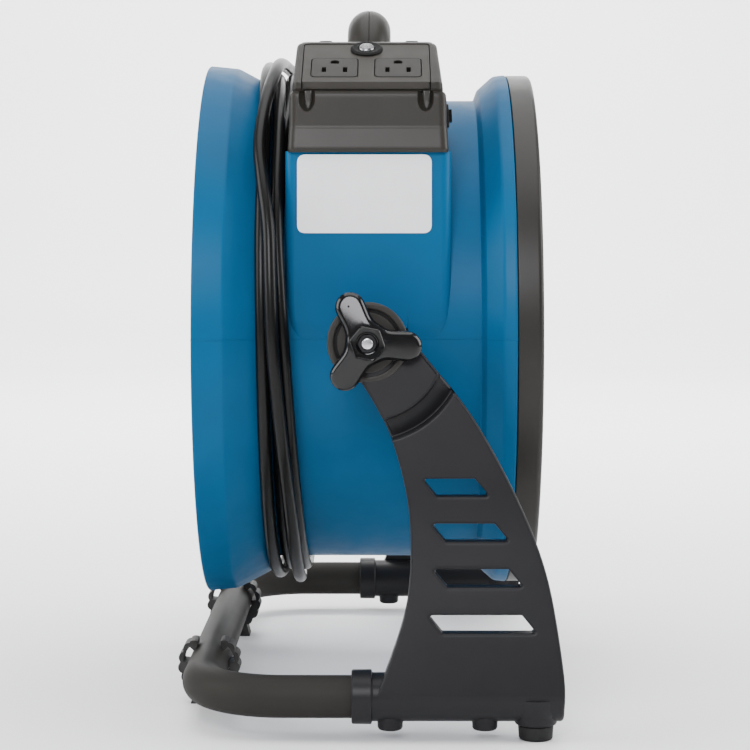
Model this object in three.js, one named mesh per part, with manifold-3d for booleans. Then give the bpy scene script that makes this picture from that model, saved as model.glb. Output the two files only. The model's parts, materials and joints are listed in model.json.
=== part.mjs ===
import * as THREE from "three";
import { mergeVertices } from "three/addons/utils/BufferGeometryUtils.js";
import Module from "manifold-3d";

const wasm = await Module();
wasm.setup();

// Axial air mover: a moulded drum with a fan inside, hung on two side bolts in a tube stand.
// All sizes are millimetres. X runs with the air flow, Y along the tilt axis, Z up.
// The drum's own places are measured from the pivot, the stand's from the floor.

// Fits
const fit = 0.3;
const overrun = 3;
const weld = 1;
const mergeTolerance = 1e-4;

// Facets round a circle, by its size
const drumRound = 48;
const grilleRound = 22;
const middleRound = 18;
const smallRound = 12;
const tinyRound = 8;
const hexSides = 6;
const cornerSteps = 4;

// Stand and pivot
const axisHeight = 222.9;
const standDepth = 226;
const pivotForward = 2.4;
const tubeRadius = 12;
const tubeWall = 1.6;
const tubeHeight = 24;
const tubeHalfWidth = 215;
const tubeBend = 50;
const tubeInsertion = 72;
const tubeSides = 12;
const tubeSteps = 34;

// Drum housing
const barrelRadius = 148.7;
const housingWall = 4;
const intakeDepth = 103.5;
const intakeRadius = 171.3;
const intakeBandEnd = 85;
const intakeBandRadius = 169.6;
const intakeConeEnd = 62;
const intakeConeRadius = 157.5;
const channelFoot = 58.4;
const outletStep = 67.5;
const outletStepRise = 2.5;
const outletConeRadius = 155.6;
const outletBandStart = 80;
const outletBandRadius = 164.6;
const outletRimRadius = 165.3;
const outletDepth = 88;
const bossRadius = 20;
const bossRootRadius = 27;
const bossReach = 179;

// Flat pad on the near upper quarter of the drum
const padHalfWidth = 49.2;
const padReach = 149.6;
const padCrease = 62;
const padLean = 2;
const padCorner = 6;

// Control box
const boxHalfWidth = 47.4;
const boxReach = 151;
const boxBase = 111.3;
const boxBandTop = 128;
const boxFrontTop = 146.3;
const boxFrontLean = 2.6;
const boxTaper = 0.065;
const boxBack = 84.5;
const boxWall = 3;
const boxCorner = 7;
const scoopRadius = 5.6;
const scoopDepth = 1.8;
const scoopSpread = 36;

// Control panel, in its own plane from its front edge
const panelTilt = 28;
const panelFront = 147.6;
const panelHeight = 152;
const panelWidth = 76;
const panelShift = -1.2;
const panelLength = 58;
const panelThickness = 5;
const panelRim = 2.5;

// Outlets, breaker and speed switch
const outletWidth = 27.6;
const outletLength = 27;
const outletBodyDepth = 18;
const outletSpread = 19;
const outletMiddle = 22;
const bladeSpacing = 12.7;
const bladeSlotWidth = 2.4;
const bladeSlotLength = 8;
const groundRadius = 2.8;
const groundOffset = 9.4;
const slotDepth = 9;
const breakerMiddle = 47;
const breakerRing = 10;
const breakerRingHeight = 2.6;
const breakerBush = 6;
const breakerBodyDepth = 16;
const buttonRadius = 4.8;
const buttonHeight = 6.2;
const buttonTravel = 2.5;
const switchMiddleY = 118;
const switchMiddleZ = 133;
const switchLength = 22;
const switchWidth = 14;
const switchRim = 1.6;
const switchDepth = 14;
const rockerLength = 15;
const rockerWidth = 7.6;
const rockerRadius = 13;
const rockerProud = 2.4;
const capacitorRadius = 10.5;
const capacitorLength = 58;
const capacitorReach = 130;
const capacitorShift = -6;

// Handle over the drum
const handleRadius = 13.6;
const handleHeight = 190.5;
const handleHalfSpan = 66;
const handleBend = 26;
const handleSides = 12;
const handleSteps = 32;

// Grilles
const rimDepth = 15.2;
const rimWall = 7;
const rimEdge = 4;
const spigotDepth = 7;
const grilleHub = 30;
const grilleRings = 4;
const ringWidth = 2.6;
const ringDepth = 6;
const grilleRibs = 6;
const ribWidth = 3.2;
const ribDepth = 8;
const guardDepth = 13;
const guardRecess = 1;

// Fan
const bladeCount = 5;
const tipRadius = 140.6;
const hubRadius = 43;
const hubDepth = 44;
const hubWall = 4;
const hubBack = -4;
const rootChord = 62;
const tipChord = 92;
const rootAngle = 46;
const tipAngle = 24;
const bladeThickness = 4.4;
const bladeCamber = 6;
const shaftRadius = 5;
const shaftBack = -82;
const shaftFront = 47;
const nutAcross = 17;
const nutHeight = 8;

// Motor
const statorRadius = 58;
const statorLength = 36;
const statorBack = -58;
const shellDepth = 17;
const shellNose = 15;
const shellNoseRadius = 17;
const shellWall = 4;
const bearingRadius = 13;
const bearingWidth = 9;
const rotorRadius = 34;
const rotorLength = 40;
const windowCount = 4;
const bandThickness = 2.5;
const bandWidth = 22;
const armThickness = 3.5;
const armWidth = 20;
const armFootSpan = 24;
const armFootLength = 34;
const armFootThickness = 3.2;
const armCount = 4;

// Pivot hardware, measured outward from the drum's middle plane
const boltRadius = 3.2;
const boltEnd = 209.4;
const boltHeadRadius = 8;
const boltHeadDepth = 5;
const frictionRadius = 17;
const frictionThickness = 1.4;
const hubFaceRadius = 22.8;
const hubThickness = 15.4;
const grooveInner = 18.6;
const grooveOuter = 20.8;
const grooveDepth = 1.6;
const clampRadius = 9;
const clampThickness = 1;
const knobThickness = 8.4;
const knobHexAcross = 19;
const knobHexRise = 2.4;
const knobReach = 30;
const knobLobeRadius = 7.6;
const knobWaist = 11.5;
const knobHole = 5.8;
const knobLobes = 3;
const lobeSteps = 3;
const knobWaistShares = [0.36, 0.5, 0.64];
const knobBevel = 1.7;
const knobHoleDepth = 6;
const knobTurn = -4.5;
const knobNutAcross = 9.8;
const knobNutHeight = 4.6;

// Side legs
const legFloorGap = 10.9;
const legReach = 110.6;
const legThickness = 12;
const legBevel = 2.4;
const legOutset = 7.8;
const legRearShares = [[-0.12, -0.066], [-0.023, -0.115], [0.118, -0.252], [0.204, -0.417],
  [0.222, -0.571], [0.195, -0.708], [0.096, -0.863], [0.032, -0.935]];
const legFrontShares = [[1, -0.965], [0.9955, -0.86], [0.9186, -0.618], [0.7676, -0.412],
  [0.543, -0.1995], [0.285, -0.029], [0.156, 0.065]];
const slotTopShare = 0.3632;
const slotPitchShare = 0.1184;
const slotHeight = 9.8;
const slotSlant = 8.2;
const slotLeftShares = [0.283, 0.327, 0.334, 0.309];
const slotRightShares = [0.553, 0.653, 0.722, 0.787];
const channelInner = 43.5;
const channelOuter = 55;
const channelDepth = 3;
const sleeveRadius = 13.65;
const collarRadius = 15.3;
const collarStart = -8.9;
const collarLength = 11.4;

// Feet
const footPlaceShare = 0.86;
const footRadius = 10;
const footHeight = 6;
const footBossRadius = 12;
const footStemRadius = 3;
const footStemLength = 8;
const padPlaceShares = [0.117, 0.6];
const footPadRadius = 7.1;
const footPadClear = 5.5;
const screwHeadRadius = 4;
const screwHeadDepth = 2.4;
const screwRadius = 1.9;
const screwReach = 4;
const saddlePlace = 113;
const saddleLength = 18;
const earReach = 18.7;
const earTop = 12;
const earScallop = 1.6;
const earScallops = 5;
const waveSteps = 4;
const saddleNeck = 60;
const earHoleTurn = 30;
const saddleHalfWidth = 12;
const saddleMouth = 42;
const earHoleRadius = 1.8;

// Supply cord, wound round the drum between the intake flange and the pad
const cordDiameter = 8;
const cordExitX = -34;
const cordExitHeight = 156;
const reliefLength = 27;
const reliefRoot = 6.4;
const reliefTip = 4.6;
const reliefCollarShare = 0.15;
const turnSteps = 32;
const leadSteps = 4;
const cordSides = 6;
const gapSamples = 1600;
const neighbourSpan = 48;
const plugBody = 32;
const plugWidth = 23;
const plugThickness = 17;
const plugPlace = 72;
const plugX = -29;
const prongLength = 17;
const prongWidth = 6.3;
const prongThickness = 1.5;
const groundPinShare = 0.85;
const groundPinRiseShare = 0.25;

// Turning angles of the cord's stations, from the top over the far side, in degrees
const stationAngles = [0, 30, 90, 135, 180, 225, 248, 270, 293, 312, 340];
// Each turn's places at those stations: lanes along X from the channel's foot and layers
// out from the barrel, both as shares of the cord's diameter
const laneShares = [
  [1.68, 0.99, 0.54, 0.83, 1.13, 0.76, 0.62, 0.52, 0.53, 0.56, 1.02],
  [1.05, 1.62, 1.72, 1.93, 2.2, 1.86, 1.5, 1.05, 0.54, 0.52, 0.22],
  [-0.12, 0.25, 0.68, 0.5, 0.2, -0.22, -0.35, -0.45, -0.6, -0.6, -0.84],
  [-0.81, -0.8, -0.53, 0.3, 1.64, 1.49, 0.96, 0.32, -0.03, -0.85, -0.05],
];
const layerShares = [
  [0.63, 0.63, 0.63, 0.63, 0.63, 0.63, 0.63, 0.65, 0.72, 0.7, 0.8],
  [1.72, 1.72, 0.63, 0.63, 0.63, 0.78, 1.32, 1.6, 1.8, 1.8, 1.74],
  [1.76, 1.9, 1.92, 1.78, 1.25, 1.72, 1.76, 1.8, 1.92, 1.9, 2.35],
  [2.7, 2.3, 2.3, 3.05, 1.74, 1.87, 2.3, 2.6, 2.95, 3.08, 3.25],
];
const tailAngles = [0, 26, 45, 62];
const tailLaneShares = [0.36, 1.7, 3, 3.6];
const tailLayerShares = [2.9, 2.9, 2, 1.25];

const deg = Math.PI / 180;
const half = 0.5;

// Materials
function finish(color, roughness, metalness) {
  return new THREE.MeshStandardMaterial({ color, roughness, metalness });
}
const bluePlastic = finish(0x0a6a9c, 0.42, 0);
const blackPlastic = finish(0x2b2a2b, 0.5, 0);
const greyPlastic = finish(0x4a4a48, 0.55, 0);
const paintedSteel = finish(0x2f2e2c, 0.4, 0.3);
const zincSteel = finish(0xb9bcc0, 0.3, 0.9);
const rubber = finish(0x1c1c1c, 0.85, 0);
const laminations = finish(0x77706a, 0.5, 0.7);
const aluminium = finish(0xa8abad, 0.4, 0.8);
const brass = finish(0xb89a58, 0.35, 0.9);
const cordJacket = finish(0x2a2928, 0.45, 0);

// Solids: closed bodies that can be joined and cut
function solid(geometry) {
  const bare = geometry.clone();
  for (const name of ["normal", "uv"]) {
    bare.deleteAttribute(name);
  }
  const merged = mergeVertices(bare, mergeTolerance);
  const place = merged.attributes.position;
  const corner = [new THREE.Vector3(), new THREE.Vector3(), new THREE.Vector3()];
  const triangles = [];
  let volume = 0;
  for (let i = 0; i < merged.index.count; i += corner.length) {
    const ids = corner.map((point, k) => merged.index.getX(i + k));
    if (new Set(ids).size < corner.length) {
      continue;
    }
    ids.forEach((id, k) => corner[k].fromBufferAttribute(place, id));
    volume += corner[0].dot(corner[1].clone().cross(corner[2]));
    triangles.push(ids);
  }
  const outward = volume < 0 ? triangles.map(([a, b, c]) => [a, c, b]) : triangles;
  const mesh = new wasm.Mesh({
    numProp: 3,
    vertProperties: new Float32Array(place.array),
    triVerts: new Uint32Array(outward.flat()),
  });
  return new wasm.Manifold(mesh);
}

function joined(bodies) {
  return bodies.reduce((all, body) => all.add(body));
}

function cut(body, tools) {
  return tools.reduce((rest, tool) => rest.subtract(tool), body);
}

function geometryOf(body) {
  const mesh = body.getMesh();
  const indexed = new THREE.BufferGeometry();
  indexed.setAttribute("position", new THREE.BufferAttribute(mesh.vertProperties, 3));
  indexed.setIndex(new THREE.BufferAttribute(mesh.triVerts, 1));
  const geometry = indexed.toNonIndexed();
  geometry.computeVertexNormals();
  return geometry;
}

// Turned shapes: a profile of [along, radius] round X, Y or Z
// Along the tilt axis, positive places lead outward to the near side
function turned(profile, segments, axis) {
  const points = profile.map(([along, radius]) => new THREE.Vector2(radius, along));
  const geometry = new THREE.LatheGeometry(points, segments);
  if (axis === "x") {
    return geometry.rotateZ(-Math.PI * half);
  }
  if (axis === "y") {
    return geometry.rotateX(Math.PI);
  }
  return geometry.rotateX(Math.PI * half);
}

function closedProfile(profile) {
  return [...profile, profile[0]];
}

function plug(from, to, radius, segments, axis) {
  return turned([[from, 0], [from, radius], [to, radius], [to, 0]], segments, axis);
}

function ring(from, to, inner, outer, segments, axis) {
  const profile = [[from, inner], [from, outer], [to, outer], [to, inner]];
  return turned(closedProfile(profile), segments, axis);
}

function block(low, high) {
  const size = high.map((value, k) => value - low[k]);
  const middle = high.map((value, k) => (value + low[k]) * half);
  return new THREE.BoxGeometry(...size).translate(...middle);
}

function outline(points) {
  return new THREE.Shape(points.map(([x, y]) => new THREE.Vector2(x, y)));
}

function extruded(shape, depth, curveSegments = cornerSteps) {
  return new THREE.ExtrudeGeometry(shape, { depth, bevelEnabled: false, curveSegments });
}

// An outline in Y and Z, pushed along X, and one in X and Z, pushed outward to the near side
const alongX = new THREE.Matrix4().makeBasis(
  new THREE.Vector3(0, 1, 0),
  new THREE.Vector3(0, 0, 1),
  new THREE.Vector3(1, 0, 0),
);
const outwardY = new THREE.Matrix4().makeBasis(
  new THREE.Vector3(1, 0, 0),
  new THREE.Vector3(0, 0, 1),
  new THREE.Vector3(0, -1, 0),
);

function regularOutline(across, sides, turn = 0) {
  const radius = across * half / Math.cos(Math.PI / sides);
  return outline(Array.from({ length: sides }, (_, i) => {
    const angle = turn + (i + half) * 2 * Math.PI / sides;
    return [radius * Math.cos(angle), radius * Math.sin(angle)];
  }));
}

function roundedRectangle(width, length, corner) {
  const shape = new THREE.Shape();
  const x = width * half;
  const y = length * half;
  shape.moveTo(-x + corner, -y);
  shape.lineTo(x - corner, -y);
  shape.absarc(x - corner, -y + corner, corner, -Math.PI * half, 0);
  shape.lineTo(x, y - corner);
  shape.absarc(x - corner, y - corner, corner, 0, Math.PI * half);
  shape.lineTo(-x + corner, y);
  shape.absarc(-x + corner, y - corner, corner, Math.PI * half, Math.PI);
  shape.lineTo(-x, -y + corner);
  shape.absarc(-x + corner, -y + corner, corner, Math.PI, Math.PI * (1 + half));
  return shape;
}

// A path of straight runs joined by arcs
function bentPath(corners, radius) {
  const arcShare = 4 / 3 * (Math.SQRT2 - 1);
  const path = new THREE.CurvePath();
  let from = corners[0];
  for (let i = 1; i < corners.length - 1; i += 1) {
    const into = corners[i].clone().sub(corners[i - 1]).normalize();
    const outOf = corners[i + 1].clone().sub(corners[i]).normalize();
    const start = corners[i].clone().addScaledVector(into, -radius);
    const end = corners[i].clone().addScaledVector(outOf, radius);
    path.add(new THREE.LineCurve3(from, start));
    const startPull = start.clone().addScaledVector(into, radius * arcShare);
    const endPull = end.clone().addScaledVector(outOf, -radius * arcShare);
    path.add(new THREE.CubicBezierCurve3(start, startPull, endPull, end));
    from = end;
  }
  path.add(new THREE.LineCurve3(from, corners[corners.length - 1]));
  return path;
}

function roundSection(radius, sides, bore) {
  const section = regularOutline(2 * radius * Math.cos(Math.PI / sides), sides);
  if (bore) {
    section.holes.push(regularOutline(2 * bore * Math.cos(2 * Math.PI / sides), sides * half));
  }
  return section;
}

function swept(section, extrudePath, steps) {
  return new THREE.ExtrudeGeometry(section, { extrudePath, steps, bevelEnabled: false });
}

// Assembly
const airMover = new THREE.Group();
const stand = new THREE.Group();
const pivot = new THREE.Group();
const panelPlane = new THREE.Group();
const switchPlane = new THREE.Group();
pivot.position.set(pivotForward, 0, axisHeight);
panelPlane.position.set(0, -panelFront, panelHeight);
panelPlane.rotation.x = panelTilt * deg;
pivot.add(panelPlane, switchPlane);
airMover.add(stand, pivot);

function piece(parent, name, body, material) {
  const mesh = new THREE.Mesh(geometryOf(body), material);
  mesh.name = name;
  parent.add(mesh);
  return mesh;
}

// The far side's copy of a near piece
function farCopy(body) {
  return solid(geometryOf(body).scale(1, -1, 1));
}

function pair(parent, name, body, material) {
  piece(parent, `near_${name}`, body, material);
  piece(parent, `far_${name}`, farCopy(body), material);
}

// Drum housing: a moulded barrel, flared at both ends
const housingProfile = [
  [-intakeDepth, intakeRadius], [-intakeBandEnd, intakeBandRadius],
  [-intakeConeEnd, intakeConeRadius], [-channelFoot, barrelRadius],
  [outletStep, barrelRadius], [outletStep + outletStepRise, outletConeRadius],
  [outletBandStart, outletBandRadius], [outletDepth, outletRimRadius],
];

function inset(profile, wall) {
  return profile.map((point, i) => {
    const before = profile[Math.max(i - 1, 0)];
    const after = profile[Math.min(i + 1, profile.length - 1)];
    const first = new THREE.Vector2(point[0] - before[0], point[1] - before[1]).normalize();
    const second = new THREE.Vector2(after[0] - point[0], after[1] - point[1]).normalize();
    const miter = first.clone().add(second).normalize();
    const edge = first.lengthSq() > 0 ? first : second;
    const reach = wall / Math.max(miter.dot(edge), half);
    if (i === 0 || i === profile.length - 1) {
      return [point[0], point[1] - wall];
    }
    return [point[0] + miter.y * reach, point[1] - miter.x * reach];
  });
}

function radiusAt(profile, along) {
  const next = profile.findIndex((point) => point[0] >= along);
  const [x0, r0] = profile[next - 1];
  const [x1, r1] = profile[next];
  return THREE.MathUtils.mapLinear(along, x0, x1, r0, r1);
}

const ductProfile = inset(housingProfile, housingWall);
const ductRadius = barrelRadius - housingWall;

function padSolid() {
  const faceTop = padReach - padLean;
  const side = outline([[-padReach, -weld], [-padReach, padCrease], [-faceTop, boxBase - fit],
    [0, boxBase - fit], [0, -weld]]);
  const pushed = extruded(side, 2 * padHalfWidth).applyMatrix4(alongX);
  pushed.translate(-padHalfWidth, 0, 0);
  const column = extruded(roundedRectangle(2 * padHalfWidth, 2 * padReach, padCorner),
    2 * boxBase).translate(0, 0, -boxBase);
  return solid(pushed).intersect(solid(column));
}

function bossSolid() {
  const inner = ductRadius - overrun;
  const profile = [[inner, 0], [inner, bossRootRadius], [bossReach - frictionRadius, bossRadius],
    [bossReach, bossRadius], [bossReach, 0]];
  return solid(turned(profile, middleRound, "y"));
}

const headSeat = ductRadius + fit + boltHeadDepth + fit;

function housingSolid() {
  const shell = solid(turned(closedProfile([...housingProfile, ...ductProfile.reverse()]),
    drumRound, "x"));
  ductProfile.reverse();
  const boss = bossSolid();
  const duct = solid(plug(-padHalfWidth - overrun, padHalfWidth + overrun, ductRadius,
    drumRound, "x"));
  const added = cut(joined([padSolid(), boss, farCopy(boss)]), [duct]);
  const bore = solid(plug(ductRadius - overrun, bossReach + overrun, boltRadius + fit, tinyRound, "y"));
  const seat = solid(plug(ductRadius - overrun, headSeat, boltHeadRadius + fit, smallRound, "y"));
  return cut(shell.add(added), [bore, seat, farCopy(bore), farCopy(seat)]);
}
piece(pivot, "drum_housing", housingSolid(), bluePlastic);

// Grilles: concentric rings on radial ribs inside a rim
function spokedRings(face, direction, outer) {
  const bodies = [];
  const gap = (outer - grilleHub) / (grilleRings + 1);
  const back = face - direction * ringDepth;
  const ribBack = face - direction * ribDepth;
  const sort = (a, b) => [Math.min(a, b), Math.max(a, b)];
  for (let i = 1; i <= grilleRings; i += 1) {
    const radius = grilleHub + gap * i;
    bodies.push(solid(ring(...sort(face, back), radius - ringWidth * half,
      radius + ringWidth * half, grilleRound, "x")));
  }
  bodies.push(solid(plug(...sort(face, ribBack), grilleHub, middleRound, "x")));
  const [low, high] = sort(face - direction * weld, ribBack);
  for (let i = 0; i < grilleRibs; i += 1) {
    const rib = block([low, -ribWidth * half, grilleHub - weld],
      [high, ribWidth * half, outer + weld]);
    bodies.push(solid(rib.rotateX((i + half) * 2 * Math.PI / grilleRibs)));
  }
  return joined(bodies);
}

const rimStart = outletDepth + fit;
const rimFace = outletDepth + rimDepth + fit;

function frontGrilleSolid() {
  const outer = outletRimRadius - fit;
  const inner = outer - rimWall;
  const spigotStart = outletDepth - spigotDepth;
  const spigot = radiusAt(ductProfile, spigotStart) - fit;
  const profile = [[rimStart, outer], [rimFace - rimEdge, outer],
    [rimFace - rimEdge * (1 - Math.SQRT1_2), outer - rimEdge * (1 - Math.SQRT1_2)],
    [rimFace, outer - rimEdge], [rimFace, inner], [spigotStart, inner - weld],
    [spigotStart, spigot], [rimStart, spigot]];
  const rim = solid(turned(closedProfile(profile), drumRound, "x"));
  return rim.add(spokedRings(rimFace - weld, 1, inner));
}
piece(pivot, "front_grille", frontGrilleSolid(), blackPlastic);

function rearGuardSolid() {
  const face = -intakeDepth + guardRecess;
  const back = face + guardDepth;
  const outerFace = radiusAt(ductProfile, face) - fit;
  const outerBack = radiusAt(ductProfile, back) - fit;
  const inner = outerBack - rimWall;
  const profile = [[face, outerFace], [back, outerBack], [back, inner], [face, inner]];
  const rim = solid(turned(closedProfile(profile), drumRound, "x"));
  return rim.add(spokedRings(face + weld, -1, inner));
}
piece(pivot, "rear_guard", rearGuardSolid(), blackPlastic);

// Motor on a banded bracket with four arms
const statorFront = statorBack + statorLength;

function shellSolid(face, direction) {
  const at = (depth) => face + direction * depth;
  const nose = shellDepth + shellNose;
  const profile = [[at(0), statorRadius], [at(shellDepth * half), statorRadius - weld],
    [at(shellDepth), statorRadius - shellDepth], [at(shellDepth), shellNoseRadius],
    [at(nose), shellNoseRadius], [at(nose), shaftRadius + fit],
    [at(nose - shellWall), shaftRadius + fit], [at(nose - shellWall), bearingRadius + fit],
    [at(shellDepth - shellWall), bearingRadius + fit],
    [at(shellDepth - shellWall), statorRadius - shellDepth - shellWall],
    [at(shellDepth * half), statorRadius - shellWall - weld], [at(0), statorRadius - shellWall]];
  const windows = Array.from({ length: windowCount }, (_, i) => {
    const span = [face, at(shellDepth - shellWall)];
    const low = Math.min(...span) + weld;
    const high = Math.max(...span) - weld;
    const window = block([low, -shellWall, statorRadius - shellDepth], [high, shellWall,
      statorRadius + overrun]);
    return solid(window.rotateX((i + half) * 2 * Math.PI / windowCount));
  });
  return cut(solid(turned(closedProfile(profile), middleRound, "x")), windows);
}
const frontShellFace = statorFront + fit;
const rearShellFace = statorBack - fit;
piece(pivot, "motor_front_shell", shellSolid(frontShellFace, 1), aluminium);
piece(pivot, "motor_rear_shell", shellSolid(rearShellFace, -1), aluminium);

const statorBore = rotorRadius + 2 * fit;
piece(pivot, "motor_stator", solid(ring(statorBack, statorFront, statorBore, statorRadius, middleRound,
  "x")), laminations);

function bearing(face, direction) {
  const seat = face + direction * (shellDepth + shellNose - shellWall - fit);
  const inner = seat - direction * bearingWidth;
  return solid(ring(Math.min(seat, inner), Math.max(seat, inner), shaftRadius + fit,
    bearingRadius, smallRound, "x"));
}
piece(pivot, "front_bearing", bearing(frontShellFace, 1), zincSteel);
piece(pivot, "rear_bearing", bearing(rearShellFace, -1), zincSteel);

function bracketSolid() {
  const middle = (statorBack + statorFront) * half;
  const bandInner = statorRadius + fit;
  const bandOuter = bandInner + bandThickness;
  const band = solid(ring(middle - bandWidth * half, middle + bandWidth * half, bandInner,
    bandOuter, middleRound, "x"));
  const wall = ductRadius * Math.cos(Math.PI / drumRound) - fit;
  const footOuter = Math.sqrt(wall ** 2 - (armFootSpan * half) ** 2);
  const arms = Array.from({ length: armCount }, (_, i) => {
    const arm = block([middle - armWidth * half, -armThickness * half, bandInner + weld],
      [middle + armWidth * half, armThickness * half, footOuter - weld]);
    const foot = block([middle - armFootLength * half, -armFootSpan * half,
      footOuter - armFootThickness], [middle + armFootLength * half, armFootSpan * half,
      footOuter]);
    return solid(arm).add(solid(foot)).rotate([(i + half) * 360 / armCount, 0, 0]);
  });
  return joined([band, ...arms]);
}
piece(pivot, "motor_bracket", bracketSolid(), paintedSteel);

// Rotor: shaft, core, impeller and nut
piece(pivot, "motor_shaft", solid(plug(shaftBack, shaftFront, shaftRadius, smallRound, "x")), zincSteel);
const statorMiddle = (statorBack + statorFront) * half;
piece(pivot, "rotor_core", solid(ring(statorMiddle - rotorLength * half,
  statorMiddle + rotorLength * half, shaftRadius + fit, rotorRadius, middleRound, "x")), laminations);

// A blade's section as shares of its chord and thickness, leading edge first
const bladeSectionShares = [[-0.5, 0], [-0.3, 0.42], [0.1, 0.5], [0.5, 0.08], [0.5, -0.08],
  [0.1, -0.5], [-0.3, -0.42]];
const bladeStationShares = [0, 0.25, 0.5, 0.75, 1];

function bladeGeometry() {
  const positions = [];
  const count = bladeSectionShares.length;
  for (const share of bladeStationShares) {
    const radius = THREE.MathUtils.lerp(hubRadius - hubWall * half, tipRadius, share);
    const chord = THREE.MathUtils.lerp(rootChord, tipChord, share);
    const pitch = THREE.MathUtils.lerp(rootAngle, tipAngle, share) * deg;
    const thickness = bladeThickness * (1 - share * half);
    for (const [along, thick] of bladeSectionShares) {
      const run = along * chord;
      const lift = thick * thickness + bladeCamber * (1 - (2 * along) ** 2);
      const axial = run * Math.sin(pitch) + lift * Math.cos(pitch);
      const around = (run * Math.cos(pitch) - lift * Math.sin(pitch)) / radius;
      positions.push(axial, radius * Math.sin(around), radius * Math.cos(around));
    }
  }
  const index = [];
  const last = (bladeStationShares.length - 1) * count;
  for (let j = 0; j < last; j += count) {
    for (let i = 0; i < count; i += 1) {
      const next = (i + 1) % count;
      index.push(j + i, j + next, j + count + i, j + next, j + count + next, j + count + i);
    }
  }
  for (let i = 1; i < count - 1; i += 1) {
    index.push(0, i + 1, i, last, last + i, last + i + 1);
  }
  const geometry = new THREE.BufferGeometry();
  geometry.setAttribute("position", new THREE.Float32BufferAttribute(positions, 3));
  geometry.setIndex(index);
  return geometry;
}

function impellerSolid() {
  const front = hubBack + hubDepth;
  const bore = shaftRadius + fit;
  const bossRim = 2 * bore;
  const bossBack = frontShellFace + shellDepth + shellNose + fit;
  const profile = [[hubBack, hubRadius], [front - hubWall, hubRadius], [front, hubRadius - hubWall],
    [front, bore], [bossBack, bore], [bossBack, bossRim], [front - hubWall, bossRim],
    [front - hubWall, hubRadius - hubWall], [hubBack, hubRadius - hubWall]];
  const hub = solid(turned(closedProfile(profile), grilleRound, "x"));
  const hollow = solid(plug(hubBack - hubDepth, front - hubWall, hubRadius - hubWall, grilleRound, "x"));
  const blades = Array.from({ length: bladeCount }, (_, i) => {
    const blade = bladeGeometry().translate(hubBack + hubDepth * half, 0, 0);
    return solid(blade.rotateX(i * 2 * Math.PI / bladeCount));
  });
  return joined([cut(joined(blades), [hollow]), hub]);
}
piece(pivot, "impeller", impellerSolid(), blackPlastic);

const hubFront = hubBack + hubDepth;
const nutStart = hubFront + fit;
const impellerNut = cut(solid(extruded(regularOutline(nutAcross, hexSides), nutHeight)
  .rotateY(Math.PI * half).translate(nutStart, 0, 0)),
[solid(plug(nutStart - overrun, nutStart + nutHeight + overrun, shaftRadius + fit, smallRound, "x"))]);
piece(pivot, "impeller_nut", impellerNut, zincSteel);

// Pivot hardware on both sides, measured outward
const headStart = ductRadius + fit;
const bolt = joined([
  solid(plug(headStart, headStart + boltHeadDepth, boltHeadRadius, smallRound, "y")),
  solid(plug(headStart + weld, boltEnd, boltRadius, tinyRound, "y")),
]);
pair(pivot, "pivot_bolt", bolt, zincSteel);

const frictionStart = bossReach + fit;
const hubStart = frictionStart + frictionThickness + fit;
const hubEnd = hubStart + hubThickness;
const clampStart = hubEnd + fit;
const knobStart = clampStart + clampThickness + fit;
pair(pivot, "friction_washer", solid(ring(frictionStart, frictionStart + frictionThickness,
  boltRadius + fit, frictionRadius, middleRound, "y")), rubber);
pair(pivot, "clamp_washer", solid(ring(clampStart, clampStart + clampThickness,
  boltRadius + fit, clampRadius, smallRound, "y")), zincSteel);

// Three-lobed knob with a raised hexagon that holds a nut
function knobOutline() {
  const shape = new THREE.Shape();
  const lobeCentre = knobReach - knobLobeRadius;
  const points = [];
  for (let i = 0; i < knobLobes; i += 1) {
    const middle = knobTurn * deg + i * 2 * Math.PI / knobLobes;
    for (let k = -lobeSteps; k <= lobeSteps; k += 1) {
      const turn = middle + k * Math.PI * half / lobeSteps;
      points.push(new THREE.Vector2(
        lobeCentre * Math.cos(middle) + knobLobeRadius * Math.cos(turn),
        lobeCentre * Math.sin(middle) + knobLobeRadius * Math.sin(turn),
      ));
    }
    for (const share of knobWaistShares) {
      const turn = middle + share * 2 * Math.PI / knobLobes;
      points.push(new THREE.Vector2(knobWaist * Math.cos(turn), knobWaist * Math.sin(turn)));
    }
  }
  return shape.setFromPoints(points);
}

function knobSolid() {
  const lobes = new THREE.ExtrudeGeometry(knobOutline(), {
    depth: knobThickness - 2 * knobBevel,
    bevelThickness: knobBevel,
    bevelSize: knobBevel,
    bevelOffset: -knobBevel,
    bevelSegments: 1,
  });
  lobes.translate(0, 0, knobBevel).applyMatrix4(outwardY).translate(0, -knobStart, 0);
  const top = knobThickness + knobHexRise;
  const hex = extruded(regularOutline(knobHexAcross, hexSides), top).applyMatrix4(outwardY);
  hex.translate(0, -knobStart, 0);
  const outer = knobStart + top;
  const hole = solid(plug(outer - knobHoleDepth, outer + overrun, knobHole, smallRound, "y"));
  const bore = solid(plug(knobStart - overrun, outer, boltRadius + fit, tinyRound, "y"));
  return cut(solid(lobes).add(solid(hex)), [hole, bore]);
}
pair(pivot, "knob", knobSolid(), blackPlastic);

const knobSeat = knobStart + knobThickness + knobHexRise - knobHoleDepth + fit;
const nutBody = cut(
  solid(extruded(regularOutline(knobNutAcross, hexSides), knobNutHeight).applyMatrix4(outwardY)
    .translate(0, -knobSeat, 0)),
  [solid(plug(knobSeat - overrun, knobSeat + knobNutHeight + overrun, boltRadius + fit, tinyRound, "y"))],
);
pair(pivot, "knob_nut", nutBody, zincSteel);

// Side leg: a splayed plate with slots, a hub at the pivot and a sleeve over the tube's end
const legDrop = axisHeight - legFloorGap;
const sleeveDrop = axisHeight - tubeHeight;
const legSplay = (tubeHalfWidth + legOutset - hubEnd) / (sleeveDrop - hubFaceRadius);
const splay = new THREE.Matrix4().set(1, 0, 0, 0, 0, 1, legSplay, 0, 0, 0, 1, 0, 0, 0, 0, 1);
const plateFace = hubEnd - legSplay * hubFaceRadius;

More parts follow.
